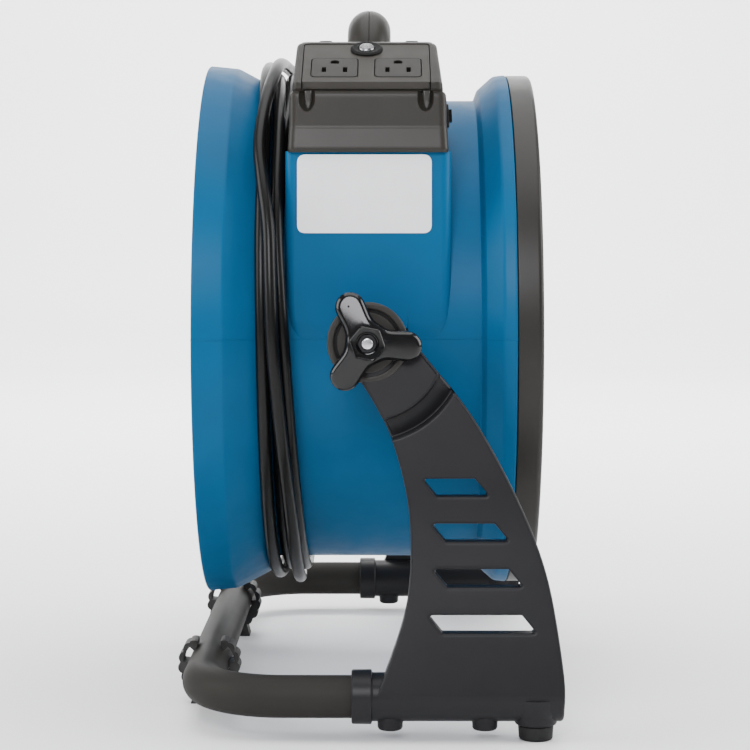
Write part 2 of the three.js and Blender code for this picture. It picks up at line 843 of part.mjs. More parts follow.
function legShape() {
  const place = ([x, z]) => new THREE.Vector2(x * legReach, z * legDrop);
  const rear = legRearShares.map(place);
  const front = legFrontShares.map(place);
  const shape = new THREE.Shape();
  shape.moveTo(rear[0].x, rear[0].y);
  shape.splineThru(rear.slice(1));
  shape.lineTo(front[0].x, front[0].y);
  shape.splineThru(front.slice(1));
  slotLeftShares.forEach((left, i) => {
    const top = -(slotTopShare + slotPitchShare * i) * legDrop;
    const bottom = top - slotHeight;
    const x0 = left * legReach;
    const x1 = slotRightShares[i] * legReach;
    shape.holes.push(outline([[x0, top], [x1, top], [x1 + slotSlant, bottom],
      [x0 + slotSlant, bottom]]));
  });
  return shape;
}

function legSolid() {
  const plate = new THREE.ExtrudeGeometry(legShape(), {
    depth: legThickness - 2 * legBevel,
    bevelThickness: legBevel,
    bevelSize: legBevel,
    bevelOffset: -legBevel,
    bevelSegments: 1,
    curveSegments: 2,
  });
  plate.translate(0, 0, legBevel).applyMatrix4(outwardY);
  plate.translate(0, -plateFace + legThickness, 0).applyMatrix4(splay);
  const hub = solid(plug(hubStart, hubEnd, hubFaceRadius, grilleRound, "y"));
  const sleeve = plug(collarStart + collarLength * half, legReach, sleeveRadius, middleRound, "x");
  const collar = plug(collarStart, collarStart + collarLength, collarRadius, middleRound, "x");
  const tubes = [sleeve, collar].map((g) => solid(g.translate(0, -tubeHalfWidth, -sleeveDrop)));
  const footX = footPlaceShare * legReach;
  const sole = -axisHeight + footHeight + fit;
  const boss = plug(sole, -sleeveDrop, footBossRadius, smallRound, "z").translate(footX, -tubeHalfWidth, 0);
  const padBottom = -axisHeight + footPadClear;
  const pads = padPlaceShares.map((share) => solid(plug(padBottom, -sleeveDrop, footPadRadius, smallRound,
    "z").translate(share * legReach, -tubeHalfWidth, 0)));
  const body = joined([solid(plate), hub, ...tubes, solid(boss), ...pads]);

  const boreEnd = tubeInsertion + fit;
  const bore = solid(plug(collarStart - overrun, boreEnd, tubeRadius + fit, grilleRound, "x")
    .translate(0, -tubeHalfWidth, -sleeveDrop));
  const pivotBore = solid(plug(hubStart - overrun, hubEnd + overrun, boltRadius + fit, tinyRound, "y"));
  const groove = solid(ring(hubEnd - grooveDepth, hubEnd + overrun, grooveInner, grooveOuter, middleRound,
    "y"));
  const channel = solid(ring(plateFace - channelDepth, plateFace + legThickness, channelInner,
    channelOuter, grilleRound, "y").applyMatrix4(splay));
  const knobRoom = solid(plug(hubEnd, hubEnd + legThickness, hubFaceRadius, grilleRound, "y"));
  const drumRoom = solid(plug(hubStart - legThickness, hubStart, hubFaceRadius, grilleRound, "y"));
  const stem = solid(plug(sole - overrun, sole + footStemLength + fit, footStemRadius + fit, tinyRound, "z")
    .translate(footX, -tubeHalfWidth, 0));
  const screwHoles = padPlaceShares.flatMap((share) => [
    plug(padBottom - overrun, padBottom + screwHeadDepth + fit, screwHeadRadius + fit, tinyRound, "z"),
    plug(padBottom, -sleeveDrop, screwRadius + fit, tinyRound, "z"),
  ].map((g) => solid(g.translate(share * legReach, -tubeHalfWidth, 0))));
  return cut(body, [bore, pivotBore, groove, channel, knobRoom, drumRoom, stem, ...screwHoles]);
}
pair(pivot, "leg", legSolid(), blackPlastic);

// Rubber front feet and the screws that hold the tube in the sleeves
function footSolid() {
  const disc = plug(-axisHeight, -axisHeight + footHeight, footRadius, smallRound, "z");
  const stem = plug(-axisHeight + weld, -axisHeight + footHeight + fit + footStemLength,
    footStemRadius, tinyRound, "z");
  return solid(disc).add(solid(stem));
}
const footBody = solid(geometryOf(footSolid()).translate(footPlaceShare * legReach,
  -tubeHalfWidth, 0));
pair(pivot, "front_foot", footBody, rubber);

const screwNames = ["rear_tube_screw", "front_tube_screw"];
padPlaceShares.forEach((share, i) => {
  const bottom = -axisHeight + footPadClear;
  const tip = -sleeveDrop - tubeRadius + tubeWall + screwReach;
  const head = plug(bottom, bottom + screwHeadDepth, screwHeadRadius, tinyRound, "z");
  const shank = plug(bottom + weld, tip, screwRadius, tinyRound, "z");
  const screw = solid(head).add(solid(shank));
  const placed = solid(geometryOf(screw).translate(share * legReach, -tubeHalfWidth, 0));
  pair(pivot, screwNames[i], placed, zincSteel);
});

// Stand tube: a U with its cross run at the back
const crossX = -standDepth * half + earReach;

function tubeSolid() {
  const end = pivotForward + tubeInsertion;
  const corners = [[end, -tubeHalfWidth], [crossX, -tubeHalfWidth], [crossX, tubeHalfWidth],
    [end, tubeHalfWidth]].map(([x, y]) => new THREE.Vector3(x, y, tubeHeight));
  const section = roundSection(tubeRadius, tubeSides, tubeRadius - tubeWall);
  const pipe = solid(swept(section, bentPath(corners, tubeBend), tubeSteps));
  const holes = padPlaceShares.map((share) => {
    const hole = plug(0, tubeHeight, screwRadius + fit, tinyRound, "z");
    return solid(hole.translate(pivotForward + share * legReach, -tubeHalfWidth, 0));
  });
  return cut(pipe, [...holes, ...holes.map(farCopy)]);
}
piece(stand, "stand_tube", tubeSolid(), paintedSteel);

// Saddle foot: a clip round the cross run with scalloped ears, and a sole under it
function saddleSolid() {
  const open = (90 - saddleMouth) * deg;
  const waves = waveSteps * earScallops;
  const side = [];
  for (let i = 0; i <= waves; i += 1) {
    const turn = open - (open + saddleNeck * deg) * i / waves;
    const radius = earReach - earScallop * half * (1 - Math.cos(i * Math.PI * half));
    side.push([radius * Math.cos(turn), radius * Math.sin(turn)]);
  }
  const neck = side[side.length - 1][0] + weld;
  side.push([Math.min(saddleHalfWidth, neck), -tubeHeight]);
  const other = side.map(([x, z]) => [-x, z]).reverse();
  const blank = extruded(outline([...side, ...other]), saddleLength).applyMatrix4(outwardY)
    .translate(0, saddleLength * half, 0);
  const bore = plug(-saddleLength, saddleLength, tubeRadius + fit, grilleRound, "y");
  const mouth = tubeRadius * Math.cos(open);
  const opening = block([-mouth, -saddleLength, 0], [mouth, saddleLength, 2 * earTop]);
  const holePlace = (tubeRadius + earReach) * half;
  const earHoles = [earHoleTurn, 180 - earHoleTurn].map((turn) => {
    const hole = plug(-saddleLength, saddleLength, earHoleRadius, tinyRound, "y");
    return hole.translate(holePlace * Math.cos(turn * deg), 0, holePlace * Math.sin(turn * deg));
  });
  return cut(solid(blank), [bore, opening, ...earHoles].map(solid));
}
const saddleBody = saddleSolid();
const placedSaddle = solid(geometryOf(saddleBody).translate(crossX, -saddlePlace, tubeHeight));
pair(stand, "rear_foot", placedSaddle, rubber);

// Control box on the pad's top and the drum's shoulder
const tilt = panelTilt * deg;
const panelRise = panelLength * Math.sin(tilt);
const panelRun = panelLength * Math.cos(tilt);

function taperedBox(geometry) {
  const place = geometry.attributes.position;
  const full = panelHeight + panelRise - boxBase;
  for (let i = 0; i < place.count; i += 1) {
    const share = (place.getZ(i) - boxBase) / full;
    place.setX(i, place.getX(i) * (1 - boxTaper * share));
  }
  return geometry;
}

function boxOutline(wall) {
  const crest = panelHeight + panelRise - wall;
  return outline([[-boxReach + wall, boxBase + wall], [-boxReach + wall, boxBandTop],
    [-boxReach + boxFrontLean + wall, boxFrontTop - wall], [-panelFront + wall, panelHeight - wall],
    [-panelFront + panelRun, crest], [-boxBack - wall - weld, crest - weld],
    [-boxBack - wall, crest - overrun], [-boxBack - wall, boxBase + wall]]);
}

function boxBlank(wall) {
  const width = 2 * (boxHalfWidth - wall);
  const depth = boxReach - boxBack - 2 * wall;
  const pushed = extruded(boxOutline(wall), width).applyMatrix4(alongX)
    .translate(-width * half, 0, 0);
  const rows = extruded(roundedRectangle(width, depth, boxCorner - wall), 2 * boxReach);
  rows.translate(0, -(boxReach + boxBack) * half, 0);
  const straight = solid(pushed).intersect(solid(rows));
  return solid(taperedBox(geometryOf(straight)));
}

const panelMatrix = new THREE.Matrix4().makeRotationX(tilt)
  .setPosition(0, -panelFront, panelHeight);

function panelBlock(grow) {
  const x = panelWidth * half + grow;
  return block([panelShift - x, -grow - overrun * Math.sign(grow), -panelThickness - grow],
    [panelShift + x, panelLength - panelRim + grow, overrun * Math.sign(grow)]);
}

function controlBoxSolid() {
  const shoulder = solid(plug(-boxHalfWidth - overrun, boxHalfWidth + overrun, barrelRadius + fit,
    drumRound, "x"));
  const inner = solid(plug(-boxHalfWidth - overrun, boxHalfWidth + overrun,
    barrelRadius + fit + boxWall, drumRound, "x"));
  const cavity = cut(boxBlank(boxWall), [inner]);
  const recess = solid(panelBlock(fit).applyMatrix4(panelMatrix));
  const mouth = solid(block([panelShift - panelWidth * half + boxWall, boxWall,
    -panelThickness * 2 - boxWall], [panelShift + panelWidth * half - boxWall,
    panelLength - panelRim - boxWall, 0]).applyMatrix4(panelMatrix));
  const scoops = [-scoopSpread, scoopSpread].map((x) => {
    const scoop = plug(boxBandTop + overrun, panelHeight, scoopRadius, smallRound, "z");
    return solid(scoop.translate(x, -boxReach + boxFrontLean + scoopDepth - scoopRadius, 0));
  });
  const switchCut = solid(block([0, -switchLength * half + switchRim, -switchWidth * half
    + switchRim], [boxHalfWidth + overrun, switchLength * half - switchRim, switchWidth * half
    - switchRim]).translate(0, -switchMiddleY, switchMiddleZ));
  return cut(boxBlank(0), [shoulder, cavity, recess, mouth, ...scoops, switchCut]);
}
piece(pivot, "control_box", controlBoxSolid(), greyPlastic);

// Control panel with its two outlets and the breaker
const outletPlaces = [-outletSpread, outletSpread].map((x) => x + panelShift);

function panelSolid() {
  const plate = solid(block([panelShift - panelWidth * half, 0, -panelThickness],
    [panelShift + panelWidth * half, panelLength - panelRim, 0]));
  const windows = outletPlaces.map((x) => solid(block(
    [x - outletWidth * half - fit, outletMiddle - outletLength * half - fit, -2 * panelThickness],
    [x + outletWidth * half + fit, outletMiddle + outletLength * half + fit, overrun],
  )));
  const hole = solid(plug(-2 * panelThickness, overrun, breakerBush + fit, smallRound, "z")
    .translate(panelShift, breakerMiddle, 0));
  return cut(plate, [...windows, hole]);
}
piece(panelPlane, "control_panel", panelSolid(), greyPlastic);

function outletSolid(x) {
  const body = solid(block(
    [x - outletWidth * half, outletMiddle - outletLength * half, -outletBodyDepth],
    [x + outletWidth * half, outletMiddle + outletLength * half, fit],
  ));
  const blades = [-bladeSpacing, bladeSpacing].map((gap) => solid(block(
    [x + (gap - bladeSlotWidth) * half, outletMiddle - bladeSlotLength * half - overrun, -slotDepth],
    [x + (gap + bladeSlotWidth) * half, outletMiddle + bladeSlotLength * half - overrun, overrun],
  )));
  const ground = solid(plug(-slotDepth, overrun, groundRadius, tinyRound, "z")
    .translate(x, outletMiddle + groundOffset - overrun * half, 0));
  return cut(body, [...blades, ground]);
}
piece(panelPlane, "left_outlet", outletSolid(outletPlaces[0]), blackPlastic);
piece(panelPlane, "right_outlet", outletSolid(outletPlaces[1]), blackPlastic);

const bushBore = buttonRadius + fit;
const bushFloor = -breakerBodyDepth + boxWall;
const breakerProfile = [[-breakerBodyDepth, 0], [-breakerBodyDepth, breakerBush],
  [fit, breakerBush], [fit, breakerRing], [fit + breakerRingHeight * half, breakerRing],
  [fit + breakerRingHeight, breakerRing - weld], [fit + breakerRingHeight, bushBore],
  [bushFloor, bushBore], [bushFloor, 0]];
piece(panelPlane, "breaker_body", solid(turned(breakerProfile, smallRound, "z")
  .translate(panelShift, breakerMiddle, 0)), blackPlastic);

const buttonRoot = bushFloor + fit + buttonTravel;
const buttonProfile = [[buttonRoot, 0], [buttonRoot, buttonRadius],
  [buttonHeight - weld, buttonRadius], [buttonHeight, buttonRadius - weld], [buttonHeight, 0]];
piece(panelPlane, "breaker_button", solid(turned(buttonProfile, smallRound, "z")
  .translate(panelShift, breakerMiddle, 0)), zincSteel);

// Speed switch in the box's end wall that faces the outlet
const wallTilt = Math.atan(boxTaper * boxHalfWidth / (panelHeight + panelRise - boxBase));
const switchShare = (switchMiddleZ - boxBase) / (panelHeight + panelRise - boxBase);
switchPlane.position.set(boxHalfWidth * (1 - boxTaper * switchShare), -switchMiddleY,
  switchMiddleZ);
switchPlane.rotation.y = -wallTilt;

function switchBodySolid() {
  const rim = solid(block([fit, -switchLength * half, -switchWidth * half],
    [fit + switchRim, switchLength * half, switchWidth * half]));
  const room = switchRim + 2 * fit;
  const body = solid(block([-switchDepth, -switchLength * half + room, -switchWidth * half + room],
    [fit + weld, switchLength * half - room, switchWidth * half - room]));
  const window = solid(block([-switchDepth + boxWall, -rockerLength * half - fit,
    -rockerWidth * half - fit], [overrun, rockerLength * half + fit, rockerWidth * half + fit]));
  return cut(rim.add(body), [window]);
}
piece(switchPlane, "speed_switch_body", switchBodySolid(), blackPlastic);

function rockerSolid() {
  const face = new THREE.Shape();
  const end = rockerLength * half;
  const proud = rockerProud + switchRim;
  face.moveTo(-end + weld, -weld);
  face.lineTo(-end + weld, proud);
  face.quadraticCurveTo(0, 0, end - weld, proud);
  face.lineTo(end - weld, -weld);
  face.quadraticCurveTo(0, -rockerRadius, -end + weld, -weld);
  const turnedFace = new THREE.Matrix4().makeBasis(new THREE.Vector3(0, 1, 0),
    new THREE.Vector3(1, 0, 0), new THREE.Vector3(0, 0, -1));
  return solid(extruded(face, rockerWidth).applyMatrix4(turnedFace)
    .translate(0, 0, rockerWidth * half));
}
piece(switchPlane, "speed_rocker", rockerSolid(), blackPlastic);

const capacitor = plug(-capacitorLength * half, capacitorLength * half, capacitorRadius, smallRound, "x")
  .translate(capacitorShift, -capacitorReach, boxBase + boxWall + fit + capacitorRadius);
piece(pivot, "run_capacitor", solid(capacitor), zincSteel);

// Handle: an arch over the drum, in two halves that meet on its middle plane
function handleSolid() {
  const foot = barrelRadius * half;
  const corners = [[-handleHalfSpan, foot], [-handleHalfSpan, handleHeight],
    [handleHalfSpan, handleHeight], [handleHalfSpan, foot]]
    .map(([y, z]) => new THREE.Vector3(0, y, z));
  const section = roundSection(handleRadius, handleSides);
  const arch = solid(swept(section, bentPath(corners, handleBend), handleSteps));
  const drum = solid(plug(-handleRadius - overrun, handleRadius + overrun, barrelRadius + fit,
    drumRound, "x"));
  return cut(arch, [drum]);
}
const handle = handleSolid();
const reach = axisHeight;
const seam = fit * half;
const leftRoom = solid(block([-reach, -reach, -reach], [-seam, reach, reach]));
const rightRoom = solid(block([seam, -reach, -reach], [reach, reach, reach]));
piece(pivot, "handle_left_half", handle.intersect(leftRoom), greyPlastic);
piece(pivot, "handle_right_half", handle.intersect(rightRoom), greyPlastic);

// Cord: strain relief at the box's back, four turns round the drum, and the plug
const exitY = -boxBack + fit;
const reliefEnd = exitY + reliefLength;
const reliefProfile = [[0, 0], [0, reliefRoot], [reliefLength * reliefCollarShare, reliefRoot],
  [reliefLength, reliefTip], [reliefLength, 0]];
const relief = turned(reliefProfile, smallRound, "y").rotateX(Math.PI)
  .translate(cordExitX, exitY, cordExitHeight);
piece(pivot, "strain_relief", solid(relief), rubber);

const laneAt = (share) => -channelFoot + share * cordDiameter;
const layerAt = (share) => barrelRadius + share * cordDiameter;

function stationPoint(x, angle, radius) {
  return new THREE.Vector3(x, radius * Math.sin(angle * deg), radius * Math.cos(angle * deg));
}

const plugLayer = barrelRadius + plugThickness * half + fit;
const plugStart = stationPoint(plugX, plugPlace, plugLayer);
const plugAhead = new THREE.Vector3(0, Math.cos(plugPlace * deg), -Math.sin(plugPlace * deg));

// Places round the drum: angle, lane and layer, blended smoothly from station to station
function windingRoute() {
  const stations = [];
  laneShares.forEach((lanes, turn) => {
    lanes.forEach((lane, i) => {
      const angle = 360 * turn + stationAngles[i];
      stations.push(new THREE.Vector3(angle, laneAt(lane), layerAt(layerShares[turn][i])));
    });
  });
  tailAngles.forEach((angle, i) => {
    stations.push(new THREE.Vector3(360 * laneShares.length + angle, laneAt(tailLaneShares[i]),
      layerAt(tailLayerShares[i])));
  });
  const points = [];
  const straight = cordDiameter;
  points.push(new THREE.Vector3(cordExitX, reliefEnd + fit, cordExitHeight));
  const from = new THREE.Vector3(cordExitX, reliefEnd + fit + straight, cordExitHeight);
  const to = stationPoint(stations[0].y, 0, stations[0].z);
  const laneSlope = (stations[1].y - stations[0].y) / (stationAngles[1] * deg * to.z);
  for (let k = 0; k < leadSteps; k += 1) {
    const t = k / leadSteps;
    points.push(new THREE.Vector3(hermite(from.x, to.x, 0, -laneSlope * from.y, t),
      THREE.MathUtils.lerp(from.y, to.y, t), hermite(from.z, to.z, 0, 0, t)));
  }
  for (let i = 0; i < stations.length - 1; i += 1) {
    const a = stations[Math.max(i - 1, 0)];
    const b = stations[i];
    const c = stations[i + 1];
    const d = stations[Math.min(i + 2, stations.length - 1)];
    const count = Math.max(1, Math.round((c.x - b.x) * turnSteps / 360));
    for (let k = 0; k < count; k += 1) {
      const t = k / count;
      const slide = (p, q, r, s) => hermite(q, r, slope(p, r, c.x - b.x, c.x - a.x),
        slope(q, s, c.x - b.x, d.x - b.x), t);
      const angle = THREE.MathUtils.lerp(b.x, c.x, t);
      points.push(stationPoint(slide(a.y, b.y, c.y, d.y), angle, slide(a.z, b.z, c.z, d.z)));
    }
  }
  points.push(plugStart.clone().addScaledVector(plugAhead, -straight - fit));
  points.push(plugStart.clone().addScaledVector(plugAhead, -fit));
  return points;
}

function slope(before, after, span, reachSpan) {
  return (after - before) * span / reachSpan;
}

function hermite(from, to, slopeFrom, slopeTo, t) {
  const s = 1 - t;
  return from * (1 + 2 * t) * s * s + slopeFrom * t * s * s
    + to * t * t * (1 + 2 * s) - slopeTo * t * t * s;
}

const windingPoints = windingRoute();
const windingCurve = new THREE.CatmullRomCurve3(windingPoints, false, "centripetal");
const windingSteps = Math.round(turnSteps * (laneShares.length + plugPlace / 360));

function leastSelfGap(curve, spread) {
  const samples = curve.getSpacedPoints(spread);
  const near = Math.ceil(neighbourSpan / (curve.getLength() / spread));
  let least = Infinity;
  samples.forEach((point, i) => {
    for (let j = i + near; j < samples.length; j += 1) {
      least = Math.min(least, point.distanceTo(samples[j]));
    }
  });
  return least - cordDiameter;
}
console.log(`cord length ${windingCurve.getLength().toFixed(0)} mm`);
console.log(`least gap in the winding ${leastSelfGap(windingCurve, gapSamples).toFixed(2)} mm`);

const cordSection = roundSection(cordDiameter * half, cordSides);
piece(pivot, "cord_winding", solid(swept(cordSection, windingCurve, windingSteps)), cordJacket);

function plugSolid() {
  const body = block([-plugWidth * half, 0, -plugThickness * half],
    [plugWidth * half, plugBody, plugThickness * half]);
  const neck = plug(0, plugBody, cordDiameter, smallRound, "y").rotateX(Math.PI);
  const prongs = [-bladeSpacing, bladeSpacing].map((gap) => block(
    [gap * half - prongThickness * half, plugBody - weld, -prongWidth * half],
    [gap * half + prongThickness * half, plugBody + prongLength, prongWidth * half],
  ));
  const pin = plug(plugBody - weld, plugBody + prongLength, groundRadius * groundPinShare, tinyRound, "y")
    .rotateX(Math.PI).translate(0, 0, plugThickness * groundPinRiseShare);
  const parts = [body, neck, ...prongs, pin].map(solid);
  return joined(parts);
}
const plugTurn = new THREE.Matrix4().makeRotationX(-plugPlace * deg)
  .setPosition(plugStart.x, plugStart.y, plugStart.z);
piece(pivot, "cord_plug", solid(geometryOf(plugSolid()).applyMatrix4(plugTurn)), cordJacket);

export default airMover;
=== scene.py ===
import json
import math

import bmesh
import bpy
from bpy.props import FloatProperty, FloatVectorProperty, IntProperty, PointerProperty
from mathutils import Matrix, Vector


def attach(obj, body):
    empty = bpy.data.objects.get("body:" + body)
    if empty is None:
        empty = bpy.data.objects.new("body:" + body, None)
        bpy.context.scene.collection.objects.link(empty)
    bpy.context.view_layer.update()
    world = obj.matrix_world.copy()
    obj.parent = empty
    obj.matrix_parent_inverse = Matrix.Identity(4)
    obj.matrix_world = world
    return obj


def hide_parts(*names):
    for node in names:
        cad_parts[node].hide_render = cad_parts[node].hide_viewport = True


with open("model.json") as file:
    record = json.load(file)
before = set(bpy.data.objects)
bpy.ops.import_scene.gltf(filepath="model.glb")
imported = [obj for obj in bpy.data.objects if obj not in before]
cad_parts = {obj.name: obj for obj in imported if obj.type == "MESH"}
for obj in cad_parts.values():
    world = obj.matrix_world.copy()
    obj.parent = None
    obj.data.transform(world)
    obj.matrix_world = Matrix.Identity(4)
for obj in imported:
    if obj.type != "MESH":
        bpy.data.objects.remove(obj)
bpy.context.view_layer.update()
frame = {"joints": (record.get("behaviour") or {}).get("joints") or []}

bl_info = {
    "name": "Axial air mover",
    "version": (1, 0, 0),
    "blender": (4, 5, 0),
    "location": "View3D > Sidebar > Air mover",
    "description": "Smooth mouldings, metal parts, a wound cord and a studio for the packed air mover",
    "category": "Object",
}

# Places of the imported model, in metres
TILT = next(joint for joint in frame["joints"] if joint["name"] == "drum_tilt")
PIVOT = Vector(TILT["pos_m"])
QUARTER = math.pi / 2
FULL = 2 * math.pi
NEAR_ZERO = 1e-6


# Sizes and colours that a user would change
def length(name, default, description):
    """A length in metres that the sidebar shows."""
    return FloatProperty(name=name, description=description, default=default, min=0, precision=4,
                         unit="LENGTH")


def colour(name, default, description):
    """A linear colour that the sidebar shows."""
    return FloatVectorProperty(name=name, description=description, default=default, size=3, min=0,
                               max=1, subtype="COLOR")


def count(name, default, description):
    """A number of copies or steps that the sidebar shows."""
    return IntProperty(name=name, description=description, default=default, min=3)


class DrumSizes(bpy.types.PropertyGroup):
    barrel_radius: length("Barrel radius", 0.1487, "Outer radius of the drum's barrel")
    wall: length("Wall", 0.004, "Thickness of the moulded wall")
    intake_depth: length("Intake depth", 0.1035, "Pivot to the intake's face")
    intake_radius: length("Intake radius", 0.1713, "Outer radius of the intake's lip")
    outlet_depth: length("Outlet depth", 0.088, "Pivot to the outlet's end")
    outlet_radius: length("Outlet radius", 0.1653, "Outer radius of the outlet's end")
    pad_half_width: length("Pad half width", 0.0492, "Half the width of the flat pad")
    pad_reach: length("Pad reach", 0.1496, "Pivot axis to the pad's face")
    pad_crease: length("Pad crease", 0.062, "Height of the crease between the pad's two facets")
    pad_lean: length("Pad lean", 0.002, "How far the upper facet leans back")
    pad_edge: length("Pad edge", 0.006, "Radius of the pad's upright edges")
    boss_reach: length("Boss reach", 0.179, "Middle plane to the face of a pivot boss")
    boss_radius: length("Boss radius", 0.02, "Radius of a pivot boss at its face")


class GrilleSizes(bpy.types.PropertyGroup):
    rim_depth: length("Rim depth", 0.0152, "Depth of the outlet grille's rim")
    rim_wall: length("Rim wall", 0.007, "Thickness of the rim")
    hub_radius: length("Hub radius", 0.03, "Radius of the middle disc")
    ring_count: count("Rings", 12, "Rings between the middle disc and the rim")
    rib_count: count("Ribs", 6, "Straight ribs from the middle disc to the rim")
    wire: length("Wire", 0.0028, "Width of a ring")


class LegSizes(bpy.types.PropertyGroup):
    drop: length("Drop", 0.212, "Height that the leg's outline is drawn to")
    reach: length("Reach", 0.1106, "Pivot to the leg's front end")
    thickness: length("Thickness", 0.012, "Thickness of the leg's plate")
    splay: FloatProperty(name="Splay", description="Outward run for each unit down", default=0.15)
    edge: length("Edge", 0.0016, "Rounding of the leg's edges")
    hub_radius: length("Hub radius", 0.0228, "Radius of the hub at the pivot")
    hub_face: length("Hub face", 0.1967, "Middle plane to the hub's outer face")
    channel_inner: length("Channel inner", 0.0445, "Inner radius of the curved channel")
    channel_outer: length("Channel outer", 0.0568, "Outer radius of the curved channel")
    channel_depth: length("Channel depth", 0.0098, "Depth of the curved channel")


class StandSizes(bpy.types.PropertyGroup):
    tube_radius: length("Tube radius", 0.012, "Outer radius of the stand's tube")
    tube_height: length("Tube height", 0.024, "Floor to the tube's middle")
    tube_half_width: length("Tube half width", 0.215, "Middle plane to a side run")
    tube_bend: length("Tube bend", 0.05, "Bend radius of the tube's middle line")


class CordSizes(bpy.types.PropertyGroup):
    diameter: length("Diameter", 0.008, "Diameter of the supply cord")
    cord_length: length("Length", 4.319, "Whole length of the supply cord")
    turn_steps: count("Steps a turn", 32, "Points along one turn of the winding")


class Colours(bpy.types.PropertyGroup):
    drum_blue: colour("Drum blue", (0.0, 0.078, 0.185), "Moulded drum")
    leg_black: colour("Leg black", (0.0125, 0.0123, 0.0135), "Satin moulded legs")
    knob_black: colour("Knob black", (0.004, 0.004, 0.0043), "Glossy knobs")
    box_grey: colour("Box grey", (0.022, 0.0198, 0.0168), "Control box and handle")
    tube_black: colour("Tube black", (0.021, 0.0198, 0.018), "Paint of the stand's tube")
    cord_black: colour("Cord black", (0.004, 0.004, 0.004), "Jacket of the supply cord")
    label_white: colour("Label white", (0.86, 0.87, 0.88), "Bare plate on the pad")
    floor_grey: colour("Floor", (0.9, 0.9, 0.9), "Studio floor")


# Outlines
def rounded(points, radii, steps=6):
    """The outline with its corners rounded, each by its own radius or all by one."""
    points = [Vector(point) for point in points]
    if not hasattr(radii, "__len__"):
        radii = [radii] * len(points)
    result = []
    for i, corner in enumerate(points):
        before = points[i - 1] - corner
        after = points[(i + 1) % len(points)] - corner
        turn = before.angle(after, math.pi)
        run = radii[i] / max(math.tan(turn / 2), NEAR_ZERO)
        run = min(run, before.length * 0.49, after.length * 0.49)
        if run < NEAR_ZERO / 10 or turn > math.pi - 1e-3:
            result.append(corner)
            continue
        start = corner + before.normalized() * run
        end = corner + after.normalized() * run
        for k in range(steps + 1):
            t = k / steps
            result.append(start * (1 - t) ** 2 + corner * 2 * t * (1 - t) + end * t * t)
    return result


def flowing(a, b, c, d, t):
    """A place between b and c on the smooth line through four points."""
    return 0.5 * (2 * b + (c - a) * t + (2 * a - 5 * b + 4 * c - d) * t ** 2
                  + (3 * b - a - 3 * c + d) * t ** 3)


def catmull(points, steps):
    """A smooth line through points, from the first to the last."""
    points = [Vector(point) for point in points]
    ends = [points[0], *points, points[-1]]
    result = [flowing(*ends[i:i + 4], k / steps) for i in range(len(points) - 1)
              for k in range(steps)]
    return result + [points[-1]]


def arc(radius, start, stop, steps, middle=(0, 0)):
    """Points on a circle round the middle, from one angle to another."""
    turns = [start + (stop - start) * k / steps for k in range(steps + 1)]
    return [Vector(middle) + Vector((math.cos(t), math.sin(t))) * radius for t in turns]


def hermite(start, end, slope_start, slope_end, t):
    """A place between two ends whose slopes are given."""
    s = 1 - t
    return (start * (1 + 2 * t) * s * s + slope_start * t * s * s
            + end * t * t * (1 + 2 * s) - slope_end * t * t * s)


def inset(profile, wall):
    """An open profile of (along, radius) moved inward by the wall."""
    result = []
    for i, point in enumerate(profile):
        before = Vector(profile[max(i - 1, 0)])
        after = Vector(profile[min(i + 1, len(profile) - 1)])
        if i in (0, len(profile) - 1):
            result.append(Vector((point[0], point[1] - wall)))
            continue
        first = (Vector(point) - before).normalized()
        second = (after - Vector(point)).normalized()
        middle = (first + second).normalized()
        reach = wall / max(middle.dot(first), 0.5)
        result.append(Vector((point[0] + middle.y * reach, point[1] - middle.x * reach)))
    return result


def rounded_rectangle(width, height, radius, steps=6):
    """A rectangle round the origin with rounded corners."""
    x, y = width / 2, height / 2
    return rounded([(-x, -y), (x, -y), (x, y), (-x, y)], radius, steps)


# Mesh building: each form is laid by the matrix that is given, if any
def moved(bm, verts, matrix):
    """The vertices, laid by the matrix."""
    if matrix:
        bmesh.ops.transform(bm, matrix=matrix, verts=[vert for vert in verts if vert.is_valid])
    return verts


def turned(bm, profile, sides, spot=None):
    """Turns (along, radius) pairs round the local Z axis. Off the axis they close to a ring."""
    rings = []
    for along, radius in profile:
        points = arc(radius, 0, FULL, sides)[:-1] if radius > NEAR_ZERO else [(0, 0)]
        rings.append([bm.verts.new((*point, along)) for point in points])
    closing = rings[:1] if profile[0][1] > NEAR_ZERO else []
    for a, b in zip(rings, rings[1:] + closing):
        for k in range(max(len(a), len(b))):
            n = (k + 1) % sides
            corners = [a[k % len(a)], a[n % len(a)], b[n % len(b)], b[k % len(b)]]
            corners = list(dict.fromkeys(corners))
            if len(corners) > 2:
                bm.faces.new(corners)
    return moved(bm, [vert for ring in rings for vert in ring], spot)


def loft(bm, rows, spot=None, ends="caps"):
    """Joins rows of as many points each into a skin with caps, a ring or open ends."""
    rings = [[bm.verts.new(point) for point in row] for row in rows]
    following = rings[1:] + (rings[:1] if ends == "ring" else [])
    for a, b in zip(rings, following):
        for k in range(len(a)):
            bm.faces.new((a[k - 1], a[k], b[k], b[k - 1]))
    if ends == "caps":
        bm.faces.new(reversed(rings[0]))
        bm.faces.new(rings[-1])
    return moved(bm, [vert for ring in rings for vert in ring], spot)


def prism(bm, outline, low, high, spot=None):
    """An outline in local X and Y, raised along Z from low to high."""
    rows = [[Vector((x, y, z)) for x, y in outline] for z in (low, high)]
    return loft(bm, rows, spot)


def cuboid(bm, low, high, edge=0.0, spot=None):
    """A block from its lowest to its highest corner, with rounded edges."""
    made = bmesh.ops.create_cube(bm, size=1)["verts"]
    low, high = Vector(low), Vector(high)
    for vert in made:
        vert.co = (high + low) / 2 + vert.co * (high - low)
    if edge > 0:
        edges = list({e for vert in made for e in vert.link_edges})
        made = bmesh.ops.bevel(bm, geom=edges, offset=edge, segments=3, profile=0.5,
                               affect="EDGES")["verts"]
    return moved(bm, made, spot)


